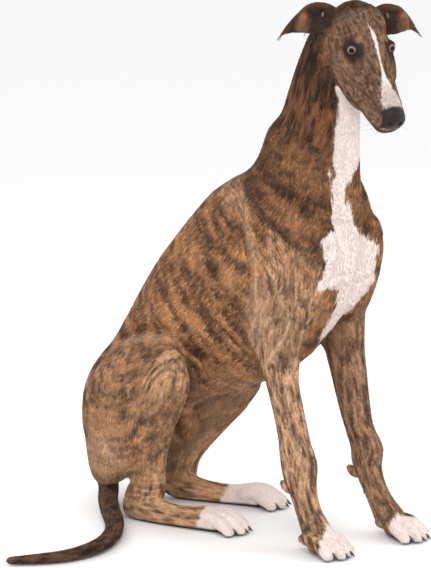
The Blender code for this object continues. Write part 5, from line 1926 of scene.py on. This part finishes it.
@dataclass
class Whiskers:
    """Fine stiff hairs on lips, chin, cheeks and brows."""

    head: Head
    seed: int = 5
    radius: float = 0.00022
    sag: float = 0.18

    def roots(self) -> list[tuple[Vector, Vector, float]]:
        """Each whisker's root, way and length in the head's frame."""
        rng = np.random.default_rng(self.seed)
        found = []
        for s in (LEFT, RIGHT):
            for row in range(3):
                for number in range(5):
                    y = -0.072 - 0.013 * number - 0.004 * row
                    root = Vector((s * (0.024 + 0.002 * row), y, -0.034 - 0.009 * row))
                    way = Vector((s * 0.8, 0.25 + 0.1 * rng.random(), -0.45 - 0.15 * rng.random()))
                    found.append((root, way, 0.024 + 0.01 * rng.random()))
            for number in range(3):
                root = Vector((s * (0.024 + 0.003 * number), 0.022 - 0.006 * number, 0.014))
                found.append((root, Vector((s * 0.45, -0.25 + 0.2 * number, 0.75)), 0.018))
            for number in range(2):
                root = Vector((s * 0.038, -0.02 - 0.012 * number, -0.05))
                found.append((root, Vector((s * 0.85, 0.3, -0.45)), 0.022))
            for number in range(3):
                root = Vector((s * 0.01, -0.11 - 0.008 * number, -0.066))
                found.append((root, Vector((s * 0.3, -0.05, -0.95)), 0.014))
        return found

    def build(self) -> bpy.types.Object:
        """All whiskers as one piece, in the dog's own frame."""
        made = []
        for root, way, length in self.roots():
            way = way.normalized()
            path = []
            for t in (0.0, 0.33, 0.66, 1.0):
                place = root + way * (length * t) + Vector((0, 0, -self.sag * length * t * t))
                path.append(tuple(place) + (self.radius * (1 - 0.8 * t),))
            made.append(tube(path, rings=8, segments=5, cap=0.1))
        obj = joined("whiskers", made)
        obj.data.transform(self.head.matrix())
        float_tones(obj.data, np.tile(WHISKER, (len(obj.data.vertices), 1)))
        return obj


# Finishes


def hair_group() -> bpy.types.NodeTree:
    """A node group that breaks a coat colour up into hairs, and gives a height for their bump."""
    group = bpy.data.node_groups.new("hair", "ShaderNodeTree")
    for name, way, kind in (
        ("Tone", "INPUT", "Color"),
        ("Size", "INPUT", "Float"),
        ("Contrast", "INPUT", "Float"),
        ("Color", "OUTPUT", "Color"),
        ("Height", "OUTPUT", "Float"),
    ):
        group.interface.new_socket(name, in_out=way, socket_type="NodeSocket" + kind)
    nodes, links = group.nodes, group.links
    start = nodes.new("NodeGroupInput")
    end = nodes.new("NodeGroupOutput")
    place = nodes.new("ShaderNodeTexCoord")
    grain = nodes.new("ShaderNodeTexNoise")
    grain.inputs["Detail"].default_value = 3.0
    links.new(place.outputs["Object"], grain.inputs["Vector"])
    links.new(start.outputs["Size"], grain.inputs["Scale"])
    spread = nodes.new("ShaderNodeMapRange")
    spread.inputs["From Min"].default_value = 0.3
    spread.inputs["From Max"].default_value = 0.7
    links.new(grain.outputs["Fac"], spread.inputs["Value"])
    # The grain runs from one less the contrast to one more it
    for operation, bound in (("SUBTRACT", "To Min"), ("ADD", "To Max")):
        limit = nodes.new("ShaderNodeMath")
        limit.operation = operation
        limit.inputs[0].default_value = 1.0
        links.new(start.outputs["Contrast"], limit.inputs[1])
        links.new(limit.outputs[0], spread.inputs[bound])
    scale = nodes.new("ShaderNodeVectorMath")
    scale.operation = "SCALE"
    links.new(start.outputs["Tone"], scale.inputs[0])
    links.new(spread.outputs["Result"], scale.inputs["Scale"])
    links.new(scale.outputs["Vector"], end.inputs["Color"])
    links.new(grain.outputs["Fac"], end.inputs["Height"])
    return group


@dataclass(frozen=True)
class CoatFinish:
    """Short dense hair, or the bare leather where the mask says so."""

    name: str
    size: float
    contrast: float
    roughness: float
    bump: float
    leather: bool = False
    leather_roughness: float = 0.5
    bump_depth: float = 0.0006
    specular: float = 0.3

    def material(self, group: bpy.types.NodeTree) -> bpy.types.Material:
        """The finish as a material that reads the tone attribute.

        Args:
            group: The node group that breaks the colour up into hairs.

        Returns:
            The material.
        """
        material = bpy.data.materials.new(self.name)
        material.use_nodes = True
        nodes, links = material.node_tree.nodes, material.node_tree.links
        shader = nodes["Principled BSDF"]
        tone = nodes.new("ShaderNodeAttribute")
        tone.attribute_name = "tone"
        hair = nodes.new("ShaderNodeGroup")
        hair.node_tree = group
        hair.inputs["Size"].default_value = self.size
        hair.inputs["Contrast"].default_value = self.contrast
        links.new(tone.outputs["Color"], hair.inputs["Tone"])
        links.new(hair.outputs["Color"], shader.inputs["Base Color"])
        bump = nodes.new("ShaderNodeBump")
        bump.inputs["Strength"].default_value = self.bump
        bump.inputs["Distance"].default_value = self.bump_depth
        links.new(hair.outputs["Height"], bump.inputs["Height"])
        links.new(bump.outputs["Normal"], shader.inputs["Normal"])
        shader.inputs["Roughness"].default_value = self.roughness
        shader.inputs["Specular IOR Level"].default_value = self.specular
        if self.leather:
            wet = nodes.new("ShaderNodeAttribute")
            wet.attribute_name = "wet"
            shine = nodes.new("ShaderNodeMapRange")
            shine.inputs["To Min"].default_value = self.roughness
            shine.inputs["To Max"].default_value = self.leather_roughness
            links.new(wet.outputs["Fac"], shine.inputs["Value"])
            links.new(shine.outputs["Result"], shader.inputs["Roughness"])
        return material


@dataclass(frozen=True)
class SmoothFinish:
    """A wet or polished surface that shows the tone attribute."""

    name: str
    roughness: float
    coat: float = 0.0
    specular: float = 0.5
    coat_roughness: float = 0.03

    def material(self) -> bpy.types.Material:
        """The finish as a material."""
        material = bpy.data.materials.new(self.name)
        material.use_nodes = True
        nodes, links = material.node_tree.nodes, material.node_tree.links
        shader = nodes["Principled BSDF"]
        tone = nodes.new("ShaderNodeAttribute")
        tone.attribute_name = "tone"
        links.new(tone.outputs["Color"], shader.inputs["Base Color"])
        shader.inputs["Roughness"].default_value = self.roughness
        shader.inputs["Specular IOR Level"].default_value = self.specular
        shader.inputs["Coat Weight"].default_value = self.coat
        shader.inputs["Coat Roughness"].default_value = self.coat_roughness
        return material


# The studio


@dataclass
class Studio:
    """A pale floor, soft lights and the camera."""

    shift: Vector
    camera_place: Row = (-3.25024194, -2.40107975, 1.2)
    camera_aim: Row = (-0.177, 0.0, 0.49)
    lens: float = 140.7
    floor_size: float = 60
    floor_tone: float = 0.96
    sky: float = 0.98
    lamp_aim: Row = (0.0, 0.0, 0.5)
    lamps: tuple[tuple[str, Row, float, float], ...] = (
        ("key", (-2.6, -1.6, 2.8), 1.8, 60),
        ("fill", (1.6, -2.8, 1.8), 2.2, 25),
        ("rim", (0.6, 2.6, 2.6), 1.6, 25),
    )

    def build(self) -> None:
        """Makes floor, lights and camera."""
        bm = bmesh.new()
        bmesh.ops.create_grid(bm, x_segments=1, y_segments=1, size=self.floor_size)
        floor = as_object("floor", bm)
        material = bpy.data.materials.new("floor")
        material.use_nodes = True
        shader = material.node_tree.nodes["Principled BSDF"]
        shader.inputs["Base Color"].default_value = (self.floor_tone,) * 3 + (1,)
        shader.inputs["Roughness"].default_value = 0.9
        floor.data.materials.append(material)
        floor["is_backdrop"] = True
        world = bpy.data.worlds.new("studio")
        world.use_nodes = True
        background = world.node_tree.nodes["Background"]
        background.inputs["Color"].default_value = (1, 1, 1, 1)
        background.inputs["Strength"].default_value = self.sky
        bpy.context.scene.world = world
        for lamp in self.lamps:
            self.lamp(*lamp)
        data = bpy.data.cameras.new("camera")
        data.lens = self.lens
        camera = bpy.data.objects.new("camera", data)
        camera.location = Vector(self.camera_place) + self.shift
        aim = Vector(self.camera_aim) - Vector(self.camera_place)
        camera.rotation_euler = aim.to_track_quat("-Z", "Y").to_euler()
        bpy.context.scene.collection.objects.link(camera)
        bpy.context.scene.camera = camera
        bpy.context.scene.view_settings.view_transform = "Standard"

    def lamp(self, name: str, place: Row, size: float, watts: float) -> None:
        """One soft square lamp that faces the dog.

        Args:
            name: The lamp's name.
            place: Where it hangs.
            size: The length of its side.
            watts: Its power.
        """
        data = bpy.data.lights.new(name, "AREA")
        data.shape = "SQUARE"
        data.size = size
        data.energy = watts
        lamp = bpy.data.objects.new(name, data)
        lamp.location = place
        aim = Vector(self.lamp_aim) - Vector(place)
        lamp.rotation_euler = aim.to_track_quat("-Z", "Y").to_euler()
        bpy.context.scene.collection.objects.link(lamp)


SKIN_FINISH = CoatFinish("skin", size=1400, contrast=0.18, roughness=0.7, bump=0.5, leather=True)
COAT_FINISH = CoatFinish("coat", size=1200, contrast=0.2, roughness=0.55, bump=0.0)
EYE_FINISH = SmoothFinish("eye", roughness=0.06, coat=0.16, specular=0.06)
CLAW_FINISH = SmoothFinish("claw", roughness=0.35)
WHISKER_FINISH = SmoothFinish("whisker", roughness=0.4)

# The names that the nodes of flesh start with
FLESH = ("torso", "neck", "head", "nose", "ear", "forearm", "fore_foot", "thigh", "shank",
         "hind_foot", "tail")


def main() -> None:
    """Builds every piece in order."""
    logging.basicConfig(level=logging.INFO, format="%(name)s: %(message)s")
    dog = Greyhound()
    shift = dog.shift()
    skin = Skin(dog).build()
    markings = Markings(dog, charts(dog))
    look = markings.paint(*surface(skin.data))
    float_tones(skin.data, look["colour"])
    float_tones(skin.data, np.repeat(look["leather"][:, None], 3, axis=1), "wet")
    group = hair_group()
    skin.data.materials.append(SKIN_FINISH.material(group))
    low, high = (np.array(corner) - np.array(shift) for corner in CAD_BOX)
    coat = Coat(markings, low + COAT_ABOVE_FLOOR, high).lay(skin)
    hair = COAT_FINISH.material(group)
    for piece in coat:
        piece.data.materials.append(hair)
    eyes = [Eyes(dog.head).build(side) for side in (LEFT, RIGHT)]
    wet = EYE_FINISH.material()
    for eye in eyes:
        eye.data.materials.append(wet)
    claws = Claws(dog).build()
    claws.data.materials.append(CLAW_FINISH.material())
    whiskers = Whiskers(dog.head).build()
    whiskers.data.materials.append(WHISKER_FINISH.material())
    for slot, pieces in (("coat", [skin, whiskers] + coat), ("eye", eyes), ("claw", [claws])):
        for piece in pieces:
            piece.data.transform(Matrix.Translation(shift))
            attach(piece, "root")
    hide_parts(*[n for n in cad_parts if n.startswith(FLESH)])
    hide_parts("eye_left")
    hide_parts("eye_right")
    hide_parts(*[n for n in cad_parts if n.startswith("claw")])
    Studio(shift).build()
    low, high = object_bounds()
    LOG.info("grew by %s and %s", [round(a - b, 4) for a, b in zip(CAD_BOX[0], low)],
             [round(b - a, 4) for a, b in zip(CAD_BOX[1], high)])


if __name__ == "__main__":
    main()
